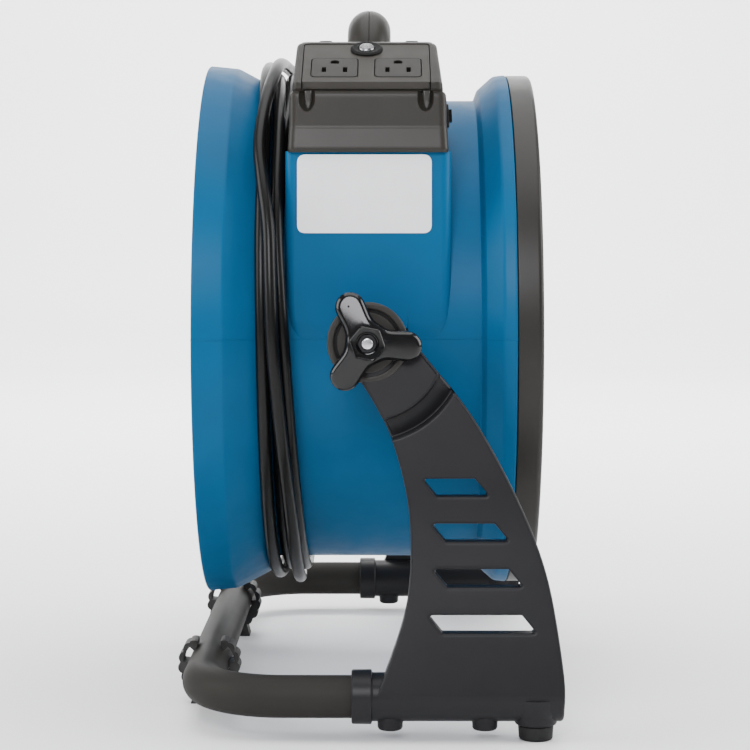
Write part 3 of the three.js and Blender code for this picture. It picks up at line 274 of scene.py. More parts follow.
def swept(bm, line, section, side):
    """A section carried along a flat line, with its X square to the line's plane."""
    rows = []
    for i, point in enumerate(line):
        ahead = (line[min(i + 1, len(line) - 1)] - line[max(i - 1, 0)]).normalized()
        up = side.cross(ahead)
        rows.append([point + side * x + up * y for x, y in section])
    return loft(bm, rows)


# Directions: the local Z axis laid along X, or outward on the near side
def spin(turn, axis):
    """A turn round an axis through the origin."""
    return Matrix.Rotation(turn, 4, axis)


def at(x, y, z):
    """A place counted from the pivot."""
    return Matrix.Translation(PIVOT + Vector((x, y, z)))


def shift(x, y, z):
    """A place counted from the local origin."""
    return Matrix.Translation((x, y, z))


ALONG_X = at(0, 0, 0) @ spin(QUARTER, "Y")
OUTWARD = at(0, 0, 0) @ spin(QUARTER, "X")
MIRROR = Matrix.Diagonal((1, -1, 1, 1))


def solid(maker, *values):
    """A new mesh with one form in it."""
    bm = bmesh.new()
    maker(bm, *values)
    return bm


def finished_mesh(name, bm):
    """The mesh with joined seams and outward faces."""
    bmesh.ops.remove_doubles(bm, verts=bm.verts, dist=NEAR_ZERO / 10)
    bmesh.ops.recalc_face_normals(bm, faces=bm.faces)
    mesh = bpy.data.meshes.new(name)
    bm.to_mesh(mesh)
    bm.free()
    return mesh


def shown(name, mesh, look, body, nodes, sharp):
    """Shows a mesh as a piece that rides on its body."""
    mesh.shade_smooth()
    mesh.set_sharp_from_angle(angle=math.radians(sharp))
    if not mesh.materials:
        mesh.materials.append(finish(look))
    obj = bpy.data.objects.new(name, mesh)
    bpy.context.scene.collection.objects.link(obj)
    even = obj.modifiers.new("even_shading", "WEIGHTED_NORMAL")
    even.keep_sharp = True
    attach(obj, body)
    if nodes:
        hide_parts(*nodes)
    return obj


def piece(name, bm, look, body, nodes, sharp=32):
    """Makes a shown piece of a mesh in the making."""
    return shown(name, finished_mesh(name, bm), look, body, nodes, sharp)


def pair(name, bm, look, body, nodes, sharp=32):
    """A near piece and its mirrored far copy. A body that moves holds {} for the side."""
    near = piece(f"near_{name}", bm, look, body.format("near"), [f"near_{node}" for node in nodes],
                 sharp)
    mesh = near.data.copy()
    mesh.name = f"far_{name}"
    mesh.transform(MIRROR)
    mesh.flip_normals()
    shown(f"far_{name}", mesh, look, body.format("far"), [f"far_{node}" for node in nodes],
          sharp)


def carved(bm, cutters, bevel=0.0, segments=2, keep_angle=40, clamp=True):
    """The body of bm less the cutters' bodies, with its crisp edges rounded."""
    blocks = []
    for form in (bm, *cutters):
        blocks.append(bpy.data.objects.new("carving", finished_mesh("carving", form)))
        bpy.context.scene.collection.objects.link(blocks[-1])
    holder = blocks[0]
    for tool in blocks[1:]:
        opening = holder.modifiers.new("opening", "BOOLEAN")
        opening.object = tool
        opening.operation = "DIFFERENCE"
        opening.solver = "EXACT"
    if bevel > 0:
        edge = holder.modifiers.new("edge", "BEVEL")
        edge.width = bevel
        edge.segments = segments
        edge.limit_method = "ANGLE"
        edge.angle_limit = math.radians(keep_angle)
        edge.miter_outer = "MITER_SHARP"
        edge.use_clamp_overlap = clamp
    bpy.context.view_layer.update()
    evaluated = holder.evaluated_get(bpy.context.evaluated_depsgraph_get())
    mesh = bpy.data.meshes.new_from_object(evaluated)
    result = bmesh.new()
    result.from_mesh(mesh)
    for old in (mesh, *[block.data for block in blocks]):
        bpy.data.meshes.remove(old)
    return result


# Finishes
class Surface:
    """A material in the making, with its shader and the object's own coordinates"""

    def __init__(self, name):
        self.material = bpy.data.materials.new(name)
        self.material.use_nodes = True
        self.tree = self.material.node_tree
        self.shader = self.tree.nodes["Principled BSDF"]
        self.where = self.node("ShaderNodeTexCoord").outputs["Object"]

    def node(self, kind, **values):
        made = self.tree.nodes.new(kind)
        for key, value in values.items():
            made.inputs[key.replace("_", " ")].default_value = value
        return made

    def link(self, output, node, socket):
        self.tree.links.new(output, node.inputs[socket])

    def noise(self, size, detail):
        """Noise whose blots are about size metres across."""
        made = self.node("ShaderNodeTexNoise", Scale=1 / size, Detail=detail)
        self.link(self.where, made, "Vector")
        return made.outputs["Fac"]

    def blots(self, size, detail, low, high):
        """Noise spread over a range."""
        made = self.node("ShaderNodeMapRange", From_Min=0.35, From_Max=0.65, To_Min=low,
                         To_Max=high)
        self.link(self.noise(size, detail), made, "Value")
        return made.outputs["Result"]

    def colours(self, size, detail, dark, light):
        """Blends two colours in blots."""
        made = self.node("ShaderNodeMix")
        made.data_type = "RGBA"
        made.inputs["A"].default_value = (*dark, 1)
        made.inputs["B"].default_value = (*light, 1)
        self.link(self.blots(size, detail, 0, 1), made, "Factor")
        self.link(made.outputs["Result"], self.shader, "Base Color")

    def roughness(self, size, detail, low, high):
        self.link(self.blots(size, detail, low, high), self.shader, "Roughness")

    def relief(self, *layers):
        """Stacks bumps of (size, detail, depth in metres)."""
        last = None
        for size, detail, depth in layers:
            bump = self.node("ShaderNodeBump", Strength=1, Distance=depth)
            self.link(self.noise(size, detail), bump, "Height")
            if last:
                self.link(last, bump, "Normal")
            last = bump.outputs["Normal"]
        self.link(last, self.shader, "Normal")

    def settings(self, values):
        for socket, value in values.items():
            self.shader.inputs[socket].default_value = value


def scaled(color, factor):
    """The colour made lighter or darker."""
    return tuple(min(1.0, c * factor) for c in color)


def moulded(name, color, roughness, grain, depth, mottle, ripple, shine):
    """Moulded plastic: fine grain, faint mottling and slight waves of the mould."""
    surface = Surface(name)
    surface.colours(0.05, 4, scaled(color, 1 - mottle), scaled(color, 1 + mottle))
    surface.roughness(0.012, 5, roughness * 0.9, roughness * 1.12)
    surface.relief((0.06, 2, ripple * 10), (grain, 2, depth))
    surface.settings({"Specular IOR Level": 0.04, "Coat Weight": shine,
                      "Coat Roughness": roughness * 0.8})
    return surface.material


def metal(name, color, roughness, brushed=0.0, scratch_depth=0.000004):
    """Bare or plated metal with faint wear and fine scratches."""
    surface = Surface(name)
    surface.colours(0.006, 5, scaled(color, 0.82), color)
    surface.roughness(0.002, 4, roughness * 0.8, roughness * 1.3)
    surface.relief((0.0004, 3, scratch_depth))
    surface.settings({"Metallic": 1, "Anisotropic": brushed})
    return surface.material


def painted(name, color, roughness):
    """Baked paint with a faint orange peel."""
    surface = Surface(name)
    surface.colours(0.08, 3, scaled(color, 0.93), scaled(color, 1.08))
    surface.roughness(0.05, 3, roughness * 0.95, roughness * 1.05)
    surface.relief((0.0016, 2, 0.00001))
    surface.settings({"Specular IOR Level": 0.02, "Coat Weight": 0.045,
                      "Coat Roughness": roughness})
    return surface.material


def rubbery(name, color):
    """Matt rubber with a soft bloom."""
    surface = Surface(name)
    surface.colours(0.008, 5, scaled(color, 0.8), scaled(color, 1.5))
    surface.relief((0.0005, 3, 0.00003))
    surface.settings({"Roughness": 0.62, "Specular IOR Level": 0.2})
    return surface.material


def laminated(name, color, roughness):
    """A thin laminated film."""
    surface = Surface(name)
    surface.colours(0.02, 4, scaled(color, 0.96), color)
    surface.roughness(0.004, 3, roughness * 0.85, roughness * 1.15)
    surface.relief((0.0009, 2, 0.000006))
    return surface.material


# Each moulding's colour and its factor, then roughness, grain and its depth, mottle, ripple, shine
MOULDINGS = {
    "drum_blue": ("drum_blue", 1, 0.5, 0.0009, 0.000012, 0.05, 0.00003, 0.19),
    "leg_black": ("leg_black", 1, 0.42, 0.0005, 0.00004, 0.08, 0.00003, 0.24),
    "hub_black": ("tube_black", 1.5, 0.42, 0.0005, 0.00004, 0.08, 0.00003, 0.24),
    "knob_black": ("knob_black", 1, 0.17, 0.001, 0.000002, 0.1, 0.00001, 0.68),
    # The screw towers' finish: a lighter grey than the case as a painted highlight, with real gloss.
    "tower_grey": ("tube_black", 1.6, 0.3, 0.001, 0.000004, 0.1, 0.00001, 0.9),
    "grille_black": ("box_grey", 0.7, 0.46, 0.0006, 0.00002, 0.1, 0.00002, 0.5),
    "box_grey": ("box_grey", 1, 0.46, 0.0005, 0.00004, 0.08, 0.00002, 0.36),
    "panel_grey": ("box_grey", 1.45, 0.46, 0.0005, 0.00003, 0.06, 0.00002, 0.36),
    "outlet_black": ("box_grey", 0.7, 0.4, 0.001, 0.00001, 0.05, 0.00001, 0.4),
    "cord_black": ("cord_black", 1, 0.36, 0.0012, 0.000004, 0.12, 0.00001, 0.32),
    # Black of the breaker's bush and gate mark; in the leg hub's groove the same black is painted
    # shade.
    "deep_black": ("cord_black", 1, 0.7, 0.0006, 0.00002, 0.06, 0.00006, 0.3),
}
# Each metal's colour and roughness, then how brushed it is and the depth of its scratches
METALS = {
    "bright_zinc": ((0.72, 0.72, 0.74), 0.22),
    "worn_zinc": ((0.34, 0.34, 0.35), 0.26),
    "blackened_steel": ((0.035, 0.035, 0.037), 0.38),
    "cast_aluminium": ((0.6, 0.61, 0.62), 0.42, 0.2, 0.00001),
    "steel_sheets": ((0.3, 0.27, 0.25), 0.5, 0.3, 0.00001),
    "brass_contact": ((0.7, 0.5, 0.2), 0.3),
}
RUBBERS = {"foot_rubber": (0.009, 0.009, 0.009), "saddle_rubber": (0.024, 0.0235, 0.0225)}


FINISHES = {}


def new_finish(name):
    """Makes a finish from the scene's colours."""
    tint = bpy.context.scene.mover_colours
    if name in MOULDINGS:
        source, factor, *values = MOULDINGS[name]
        return moulded(name, scaled(getattr(tint, source), factor), *values)
    if name in METALS:
        return metal(name, *METALS[name])
    if name in RUBBERS:
        return rubbery(name, RUBBERS[name])
    if name == "tube_black":
        return painted(name, scaled(tint.tube_black, 1.3), 0.5)
    return laminated(name, tint.label_white, 0.4)


def finish(name):
    """The named finish, made once."""
    if name not in FINISHES:
        FINISHES[name] = new_finish(name)
    return FINISHES[name]


# Studio: the floor's sweep up to the wall as (back, up), the lamps and the camera, in metres
SWEEP = [(-16.0, 0.0), (3.2, 0.0), (3.8, 0.08), (4.15, 0.4), (4.25, 0.9), (4.25, 4.5)]
SWEEP_EASE = 0.5
SWEEP_SIDE = 14.0
MACHINE = (0, 0, 0.2)
WHITE = (1, 1, 1)
LAMPS = [("left_light", (-2.2, -0.4, 1.1), MACHINE, 1.7, 52, WHITE),
         ("right_light", (2.2, -0.2, 1.1), MACHINE, 1.7, 60, WHITE),
         ("top_light", (0, -0.1, 2.5), MACHINE, 2.4, 58, WHITE),
         ("front_light", (-0.35, -2.4, 1.45), MACHINE, 1.0, 52, (0.96, 0.96, 1)),
         ("wall_light", (0, 1.6, 2.8), (0, 4.2, 0.9), 2.4, 400, WHITE)]
CAMERA_LENS = 108
CAMERA_SENSOR = 36
CAMERA_SHIFT = -0.1333
CAMERA_SPOT = (0.0124, -1.48, 0.2885)
CAMERA_TURN = (math.radians(88.8), 0, math.radians(0.2546))


class MOVER_OT_studio(bpy.types.Operator):
    """Adds the pale floor, the soft lights and the camera"""
    bl_idname = "mover.studio"
    bl_label = "Studio"

    def execute(self, context):
        tint = context.scene.mover_colours
        bm = bmesh.new()
        profile = rounded(SWEEP, [0, *[SWEEP_EASE] * (len(SWEEP) - 2), 0], 8)
        sides = [[bm.verts.new((x, y, z)) for y, z in profile] for x in (-SWEEP_SIDE, SWEEP_SIDE)]
        for left, right, next_left, next_right in zip(*sides, sides[0][1:], sides[1][1:]):
            bm.faces.new((left, right, next_right, next_left))
        mesh = bpy.data.meshes.new("studio_floor")
        bm.to_mesh(mesh)
        bm.free()
        mesh.shade_smooth()
        paper = Surface("floor_paper")
        paper.colours(0.3, 3, scaled(tint.floor_grey, 0.985), tint.floor_grey)
        paper.settings({"Roughness": 0.75})
        mesh.materials.append(paper.material)
        floor = bpy.data.objects.new("studio_floor", mesh)
        context.scene.collection.objects.link(floor)
        world = bpy.data.worlds.new("studio_air")
        world.use_nodes = True
        air = world.node_tree.nodes["Background"].inputs
        air["Color"].default_value = (0.95, 0.97, 1, 1)
        air["Strength"].default_value = 0.3
        context.scene.world = world
        for name, spot, target, size, power, tone in LAMPS:
            lamp = bpy.data.lights.new(name, "AREA")
            lamp.size = size
            lamp.energy = power
            lamp.color = tone
            obj = bpy.data.objects.new(name, lamp)
            obj.location = spot
            aim = Vector(target) - Vector(spot)
            obj.rotation_euler = aim.to_track_quat("-Z", "Y").to_euler()
            context.scene.collection.objects.link(obj)
        view = bpy.data.cameras.new("photo_camera")
        view.lens, view.sensor_width, view.shift_y = CAMERA_LENS, CAMERA_SENSOR, CAMERA_SHIFT
        view.clip_end = 30
        view.dof.use_dof = False
        camera = bpy.data.objects.new("photo_camera", view)
        camera.location = CAMERA_SPOT
        camera.rotation_euler = CAMERA_TURN
        context.scene.collection.objects.link(camera)
        context.scene.camera = camera
        return {"FINISHED"}


# Supply cord: lanes along and layers over the drum, in cord diameters, at stations of a turn
STATION_ANGLES = [0, 30, 90, 135, 180, 225, 248, 270, 293, 312, 340]
LANE_SHARES = [
    [1.68, 0.99, 0.54, 0.83, 1.13, 0.76, 0.62, 0.52, 0.53, 0.56, 1.02],
    [1.05, 1.62, 1.72, 1.93, 2.2, 1.86, 1.5, 1.05, 0.54, 0.52, 0.22],
    [-0.12, 0.25, 0.68, 0.5, 0.2, -0.22, -0.35, -0.45, -0.6, -0.6, -0.84],
    [-0.81, -0.8, -0.53, 0.3, 1.64, 1.49, 0.96, 0.32, -0.03, -0.85, -0.05],
]
LAYER_SHARES = [
    [0.63, 0.63, 0.63, 0.63, 0.63, 0.63, 0.63, 0.65, 0.72, 0.7, 0.8],
    [1.72, 1.72, 0.63, 0.63, 0.63, 0.78, 1.32, 1.6, 1.8, 1.8, 1.74],
    [1.76, 1.9, 1.92, 1.78, 1.25, 1.72, 1.76, 1.8, 1.92, 1.9, 2.35],
    [2.7, 2.3, 2.3, 3.05, 1.74, 1.87, 2.3, 2.6, 2.95, 3.08, 3.25],
]
TAIL_ANGLES = [0, 26, 45, 62]
TAIL_LANE_SHARES = [0.36, 1.7, 3, 3.6]
TAIL_LAYER_SHARES = [2.9, 2.9, 2, 1.25]
CHANNEL_FOOT = 0.0584
CORD_EXIT = Vector((-0.034, -0.0842, 0.156))
RELIEF_LENGTH = 0.027
PLUG_PLACE = math.radians(72)
PLUG_X = -0.029
PLUG_THICKNESS = 0.017
CLEARANCE = 0.0003
BLADE_SPACING = 0.00635


def round_drum(x, turn, radius):
    """A place beside the drum: turn runs from the top over the far side."""
    return Vector((x, radius * math.sin(turn), radius * math.cos(turn)))


def plug_place(barrel):
    """The plug's cord end on the far side, and the way that the plug points."""
    start = round_drum(PLUG_X, PLUG_PLACE, barrel + PLUG_THICKNESS / 2 + CLEARANCE)
    ahead = Vector((0, math.cos(PLUG_PLACE), -math.sin(PLUG_PLACE)))
    return start, ahead


def winding_points(sizes, barrel):
    """The cord's middle line, from the strain relief over four turns to the plug."""
    wide = sizes.diameter

    def station(turn, lane, layer):
        return math.radians(turn), -CHANNEL_FOOT + lane * wide, barrel + layer * wide

    stations = []
    for turn, lanes in enumerate(LANE_SHARES):
        for i, lane in enumerate(lanes):
            stations.append(station(360 * turn + STATION_ANGLES[i], lane, LAYER_SHARES[turn][i]))
    for i, turn in enumerate(TAIL_ANGLES):
        stations.append(station(360 * len(LANE_SHARES) + turn, TAIL_LANE_SHARES[i],
                                TAIL_LAYER_SHARES[i]))
    first = CORD_EXIT + Vector((0, RELIEF_LENGTH + CLEARANCE, 0))
    points = [first]
    begin = first + Vector((0, wide, 0))
    _, end_x, end_z = stations[0]
    slope = (stations[1][1] - end_x) / ((stations[1][0] - stations[0][0]) * end_z)
    for k in range(4):
        t = k / 4
        points.append(Vector((hermite(begin.x, end_x, 0, -slope * begin.y, t),
                              begin.y * (1 - t), hermite(begin.z, end_z, 0, 0, t))))
    for i in range(len(stations) - 1):
        a = stations[max(i - 1, 0)]
        b, c = stations[i], stations[i + 1]
        d = stations[min(i + 2, len(stations) - 1)]
        span = c[0] - b[0]
        parts = max(1, round(span * sizes.turn_steps / (FULL)))
        for k in range(parts):
            t = k / parts
            x, radius = (hermite(b[n], c[n], (c[n] - a[n]) * span / (c[0] - a[0]),
                                 (d[n] - b[n]) * span / (d[0] - b[0]), t) for n in (1, 2))
            points.append(round_drum(x, b[0] + span * t, radius))
    plug, ahead = plug_place(barrel)
    points.append(plug - ahead * (wide + CLEARANCE))
    points.append(plug - ahead * CLEARANCE)
    return points


def smooth_line(points, steps):
    """A centripetal smooth line through the points."""
    result = []
    last = len(points) - 1
    for i in range(last):
        b, c = points[i], points[i + 1]
        a = points[i - 1] if i else b * 2 - c
        d = points[i + 2] if i + 2 <= last else c * 2 - b
        da, db, dc = ((q - p).length ** 0.5 for p, q in ((a, b), (b, c), (c, d)))
        slope_b = ((b - a) / da - (c - a) / (da + db) + (c - b) / db) * db
        slope_c = ((c - b) / db - (d - b) / (db + dc) + (d - c) / dc) * db
        result += [hermite(b, c, slope_b, slope_c, k / steps) for k in range(steps)]
    result.append(points[-1])
    return result


class MOVER_OT_cord(bpy.types.Operator):
    """Winds the supply cord round the drum, with its strain relief and plug"""
    bl_idname = "mover.cord"
    bl_label = "Supply cord"

    def execute(self, context):
        sizes = context.scene.mover_cord
        barrel = context.scene.mover_drum.barrel_radius
        line = [PIVOT + point for point in smooth_line(winding_points(sizes, barrel), 5)]
        curve = bpy.data.curves.new("supply_cord", "CURVE")
        curve.dimensions = "3D"
        curve.bevel_depth = sizes.diameter / 2
        curve.bevel_resolution = 5
        curve.use_fill_caps = True
        spline = curve.splines.new("POLY")
        spline.points.add(len(line) - 1)
        for point, spot in zip(spline.points, line):
            point.co = (*spot, 1)
        spline.use_smooth = True
        curve.materials.append(finish("cord_black"))
        cord = bpy.data.objects.new("supply_cord", curve)
        context.scene.collection.objects.link(cord)
        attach(cord, "drum")
        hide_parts("cord_winding")
        plug = self.plug(barrel)
        self.relief()
        return {"FINISHED"}

    def relief(self):
        """The tapered grip where the cord leaves the control box"""
        profile = [(0, 0.0045), (0, 0.0064), (0.004, 0.0064)]
        for k in range(6):
            z = 0.0054 + 0.0032 * k
            r = 0.0062 - 0.00026 * k
            profile += [(z, r - 0.0008), (z + 0.0007, r - 0.0012), (z + 0.0014, r - 0.0008),
                        (z + 0.0018, r), (z + 0.0028, r)]
        profile += [(RELIEF_LENGTH - 0.0012, 0.0047), (RELIEF_LENGTH, 0.0042)]
        bm = solid(turned, profile, 48, Matrix.Translation(PIVOT + CORD_EXIT) @ spin(-QUARTER, "X"))
        piece("strain_relief_grip", bm, "foot_rubber", "drum", ["strain_relief"])

    def plug(self, barrel):
        """The moulded plug with its blades and round ground pin"""
        start, _ = plug_place(barrel)
        spot = Matrix.Translation(PIVOT + start) @ spin(-PLUG_PLACE, "X")
        rows = []
        body = [(0.0, 0.0062, 0.0062, 0.006), (0.003, 0.0075, 0.007, 0.0065),
                (0.008, 0.0078, 0.0072, 0.0065), (0.0085, 0.0084, 0.0076, 0.006),
                (0.013, 0.0105, 0.0082, 0.006), (0.02, 0.0113, 0.0084, 0.005),
                (0.031, 0.0115, 0.0085, 0.0045), (0.032, 0.011, 0.008, 0.004)]
        for along, x, z, corner in body:
            ring = rounded_rectangle(2 * x, 2 * z, corner, 8)
            rows.append([Vector((px, along, pz)) for px, pz in ring])
        bm = solid(loft, rows, spot)
        plug = piece("cord_plug_body", bm, "cord_black", "drum", ["cord_plug"])
        foot, pin = 0.03, 0.0024
        profile = [(foot, 0), (foot, pin), (0.0465, pin), (0.048, 0.0016), (0.0485, 0)]
        bm = solid(turned, profile, 24, spot @ shift(0, 0, 0.0042) @ spin(-QUARTER, "X"))
        for x in (-BLADE_SPACING, BLADE_SPACING):
            cuboid(bm, (x - 0.00075, foot, -0.00315), (x + 0.00075, 0.0486, 0.00315), 0.0004, spot)
        blades = piece("plug_blades", bm, "brass_contact", "drum", ())
        return [plug, blades]


# Drum
OUTSIDE_EASE = [0, 0.006, 0.012, 0.003, 0.0012, 0.003, 0.006, 0]
INSIDE_EASE = [0, 0.004, 0.01, 0.004, 0.003, 0.002, 0.004, 0]
LIP_EDGE = 0.0012
DRUM_SIDES = 224
PAD_TOP = 0.111
PAD_FOOT = -0.004
BOLT_ROOM = 0.0036
LABEL_LOW, LABEL_HIGH, LABEL_MIDDLE = 0.0625, 0.109, -0.0022
LABEL_WIDTH = 0.0795


def drum_profile(sizes):
    """The drum's outside as (along, radius), from the intake's lip to the outlet's end."""
    barrel, lip = sizes.barrel_radius, sizes.intake_radius
    return [(-sizes.intake_depth, lip), (-0.085, lip - 0.0017), (-0.062, lip - 0.0138),
            (-CHANNEL_FOOT, barrel), (0.0675, barrel), (0.07, barrel + 0.0069),
            (0.08, sizes.outlet_radius - 0.0007), (sizes.outlet_depth, sizes.outlet_radius)]


class MOVER_OT_drum(bpy.types.Operator):
    """Moulds the drum with its flared ends, flat pad and pivot bosses"""
    bl_idname = "mover.drum"
    bl_label = "Drum housing"

    def execute(self, context):
        sizes = context.scene.mover_drum
        outside = drum_profile(sizes)
        inside = inset(outside, sizes.wall)
        smooth_out = rounded(outside, OUTSIDE_EASE, 6)
        smooth_in = rounded(inside, INSIDE_EASE, 5)
        first, last = smooth_out[0], smooth_out[-1]
        lip_start = arc(LIP_EDGE, math.pi, QUARTER, 3, (first.x + LIP_EDGE, first.y - LIP_EDGE))
        lip_end = arc(LIP_EDGE, QUARTER, 0, 3, (last.x - LIP_EDGE, last.y - LIP_EDGE))
        profile = lip_start + smooth_out[1:-1] + lip_end + list(reversed(smooth_in))
        bm = solid(turned, profile, DRUM_SIDES, ALONG_X)
        self.pad(bm, sizes)
        for spot in (OUTWARD, MIRROR @ OUTWARD):
            turned(bm, self.boss(sizes), 96, spot)
        piece("drum_shell", bm, "drum_blue", "drum", ["drum_housing"], 28)
        self.parting_line(sizes)
        self.label(sizes)
        return {"FINISHED"}

    def pad(self, bm, sizes):
        """The flat pad on the near side's upper quarter, under the control box"""
        barrel, edge = sizes.barrel_radius - 0.002, sizes.pad_edge
        rows = []
        for k in range(57):
            z = PAD_FOOT + (PAD_TOP - PAD_FOOT) * k / 56
            over = max(0.0, z - sizes.pad_crease)
            face = sizes.pad_reach - sizes.pad_lean * over / (PAD_TOP - sizes.pad_crease)
            low = min(max((0.01 - z) / 0.014, 0), 1)
            face -= 0.0012 * low * low * (3 - 2 * low)
            back = -math.sqrt(barrel ** 2 - z ** 2)
            half = sizes.pad_half_width - 0.0055 * min(max((0.018 - z) / 0.022, 0), 1) ** 2
            left = arc(edge, math.pi, math.pi + QUARTER, 12, (-half + edge, -face + edge))
            right = arc(edge, -QUARTER, 0, 12, (half - edge, -face + edge))
            outline = [(-half, back), *left, *right, (half, back)]
            rows.append([Vector((x, min(y, back), z)) for x, y in outline])
        loft(bm, rows, at(0, 0, 0))

    def boss(self, sizes):
        """The section of a pivot boss that flares smoothly out of the barrel"""
        reach, face = sizes.boss_reach, sizes.boss_radius
        flare = [(0.1446, face + 0.0034), (0.1482, face + 0.0026), (0.151, face + 0.0014),
                 (0.1545, face + 0.0006), (0.163, face + 0.0002), (reach - 0.0012, face)]
        return [*catmull(flare, 5), (reach - 0.0004, face - 0.0004), (reach, face - 0.0012),
                (reach, BOLT_ROOM), (0.15, BOLT_ROOM), (0.1446, BOLT_ROOM)]

    def parting_line(self, sizes):
        """The fine raised line where the mould's halves meet"""
        bm = bmesh.new()
        profile = rounded(drum_profile(sizes), OUTSIDE_EASE, 5)
        sunk, rise, half = 0.0004, 0.00022, 0.0005
        section = [(-sunk, -half), (rise, -half / 2), (rise, half / 2), (-sunk, half)]
        for side in (-1, 1):
            rows = [[Vector((along, side * (radius + over), across)) for over, across in section]
                    for along, radius in profile]
            loft(bm, rows, at(0, 0, 0))
        piece("drum_parting_line", bm, "drum_blue", "drum", ())

    def label(self, sizes):
        """A bare plate on the pad's upper facet"""
        slope = sizes.pad_lean / (PAD_TOP - sizes.pad_crease)
        lean = math.atan(slope)
        z = (LABEL_LOW + LABEL_HIGH) / 2
        face = sizes.pad_reach - slope * (z - sizes.pad_crease)
        outline = rounded_rectangle(LABEL_WIDTH, LABEL_HIGH - LABEL_LOW, 0.005, 8)
        spot = at(LABEL_MIDDLE, -face, z) @ spin(QUARTER - lean, "X")
        bm = solid(prism, outline, -0.0004, 0.0005, spot)
        piece("label_plate", bm, "label_white", "drum", ())


# Grilles
RING_DEPTH = 0.006


def ringed_guard(bm, sizes, face, direction, inner):
    """Thin rings on straight ribs round a shallow dished disc, facing along X."""
    depth, rings = RING_DEPTH, sizes.ring_count
    gap = (inner - sizes.hub_radius) / (rings + 1)
    half = sizes.wire / 2

    def along(back):
        return face - direction * back

    made = []
    for k in range(1, rings + 1):
        r = sizes.hub_radius + gap * k
        flank = [(0.0, 0.35), (0.0005, 0.7), (0.0012, 0.8), (depth, 1)]
        profile = [(along(back), r + half * share) for back, share in flank]
        profile += [(along(back), r - half * share) for back, share in reversed(flank)]
        made += turned(bm, profile, 144)
    r = sizes.hub_radius
    disc = [(0.0016, 0), (0.0014, r * 0.6), (0.0004, r * 0.86), (0, r * 0.94), (0.0006, r),
            (depth, r), (depth, r - 0.0025), (0.0034, r - 0.0035), (0.0034, 0)]
    disc = [(along(back), radius) for back, radius in disc]
    made += turned(bm, disc, 96)
    for k in range(sizes.rib_count):
        section = [(-0.0015, 0.0006), (-0.001, 0.0), (0.001, 0.0), (0.0015, 0.0006),
                   (0.0017, depth + 0.0015), (-0.0017, depth + 0.0015)]
        rows = [[Vector((across, reach, along(back))) for across, back in section]
                for reach in (r - 0.001, inner + 0.001)]
        made += loft(bm, rows, spin((k + 0.5) * FULL / sizes.rib_count, "Z"))
    moved(bm, made, ALONG_X)


class MOVER_OT_grilles(bpy.types.Operator):
    """Moulds the outlet grille and the intake guard"""
    bl_idname = "mover.grilles"
    bl_label = "Grilles"

    def execute(self, context):
        sizes = context.scene.mover_grille
        drum = context.scene.mover_drum
        start = drum.outlet_depth + CLEARANCE
        face = start + sizes.rim_depth
        outer = drum.outlet_radius - CLEARANCE
        inner = outer - sizes.rim_wall
        outline = rounded([(start, outer), (face, outer), (face, inner), (0.081, inner - 0.001),
                           (0.081, inner + 0.0026), (start, inner + 0.0035)],
                          [0.0008, 0.005, 0.002, 0.0008, 0.0008, 0.0008], 7)
        bm = solid(turned, outline, DRUM_SIDES, ALONG_X)
        ringed_guard(bm, sizes, face - 0.001, 1, inner)
        piece("outlet_grille", bm, "grille_black", "drum", ["front_grille"], 34)
        back = drum.intake_depth - 0.001
        rim = drum.intake_radius - drum.wall - 0.0004
        opening = rim - 0.0085
        outline = rounded([(-back, rim), (-back + 0.013, rim - 0.0012), (-back + 0.013, opening),
                           (-back, opening)], [0.001, 0.0006, 0.001, 0.003], 6)
        bm = solid(turned, outline, DRUM_SIDES, ALONG_X)
        ringed_guard(bm, sizes, -back + 0.001, -1, opening)
        piece("intake_guard", bm, "grille_black", "drum", ["rear_guard"], 34)
        return {"FINISHED"}


# Fan and motor
BLADES = 5
BLADE_ROOT, BLADE_TIP = 0.041, 0.1406
PITCH_ROOT, PITCH_TIP = 46, 24
CUP_RADIUS, CUP_BACK, CUP_FRONT = 0.043, -0.004, 0.04
CUP_WALL = 0.004
SHAFT_BORE = 0.0053
SHEET = 0.001
ARMS = 4


def blade_section(chord, thickness, camber, steps=9):
    """A blade's section as (along, lift), from the leading edge round and back."""
    upper, lower = [], []
    for k in range(steps + 1):
        t = k / steps
        along = -0.5 + t
        full = thickness * (1.6 * math.sqrt(max(t, 0)) * (1 - t) + 0.12 * t * (1 - t) + 0.06)
        arch = camber * (1 - (2 * along) ** 2)
        upper.append((along * chord, arch + full / 2))
        lower.append((along * chord, arch - full / 2))
    return upper + list(reversed(lower))


def sheet_stack(low, high, outer, inner):
    """A stack of sheets as (along, radius), with a fine groove after each."""
    groove = outer - 0.0003
    profile = [(low, inner)]
    for k in range(round((high - low) / SHEET)):
        z = low + SHEET * k
        profile += [(z, outer), (z + 0.0008, outer), (z + 0.0009, groove)]
    return profile + [(high, groove), (high, inner)]


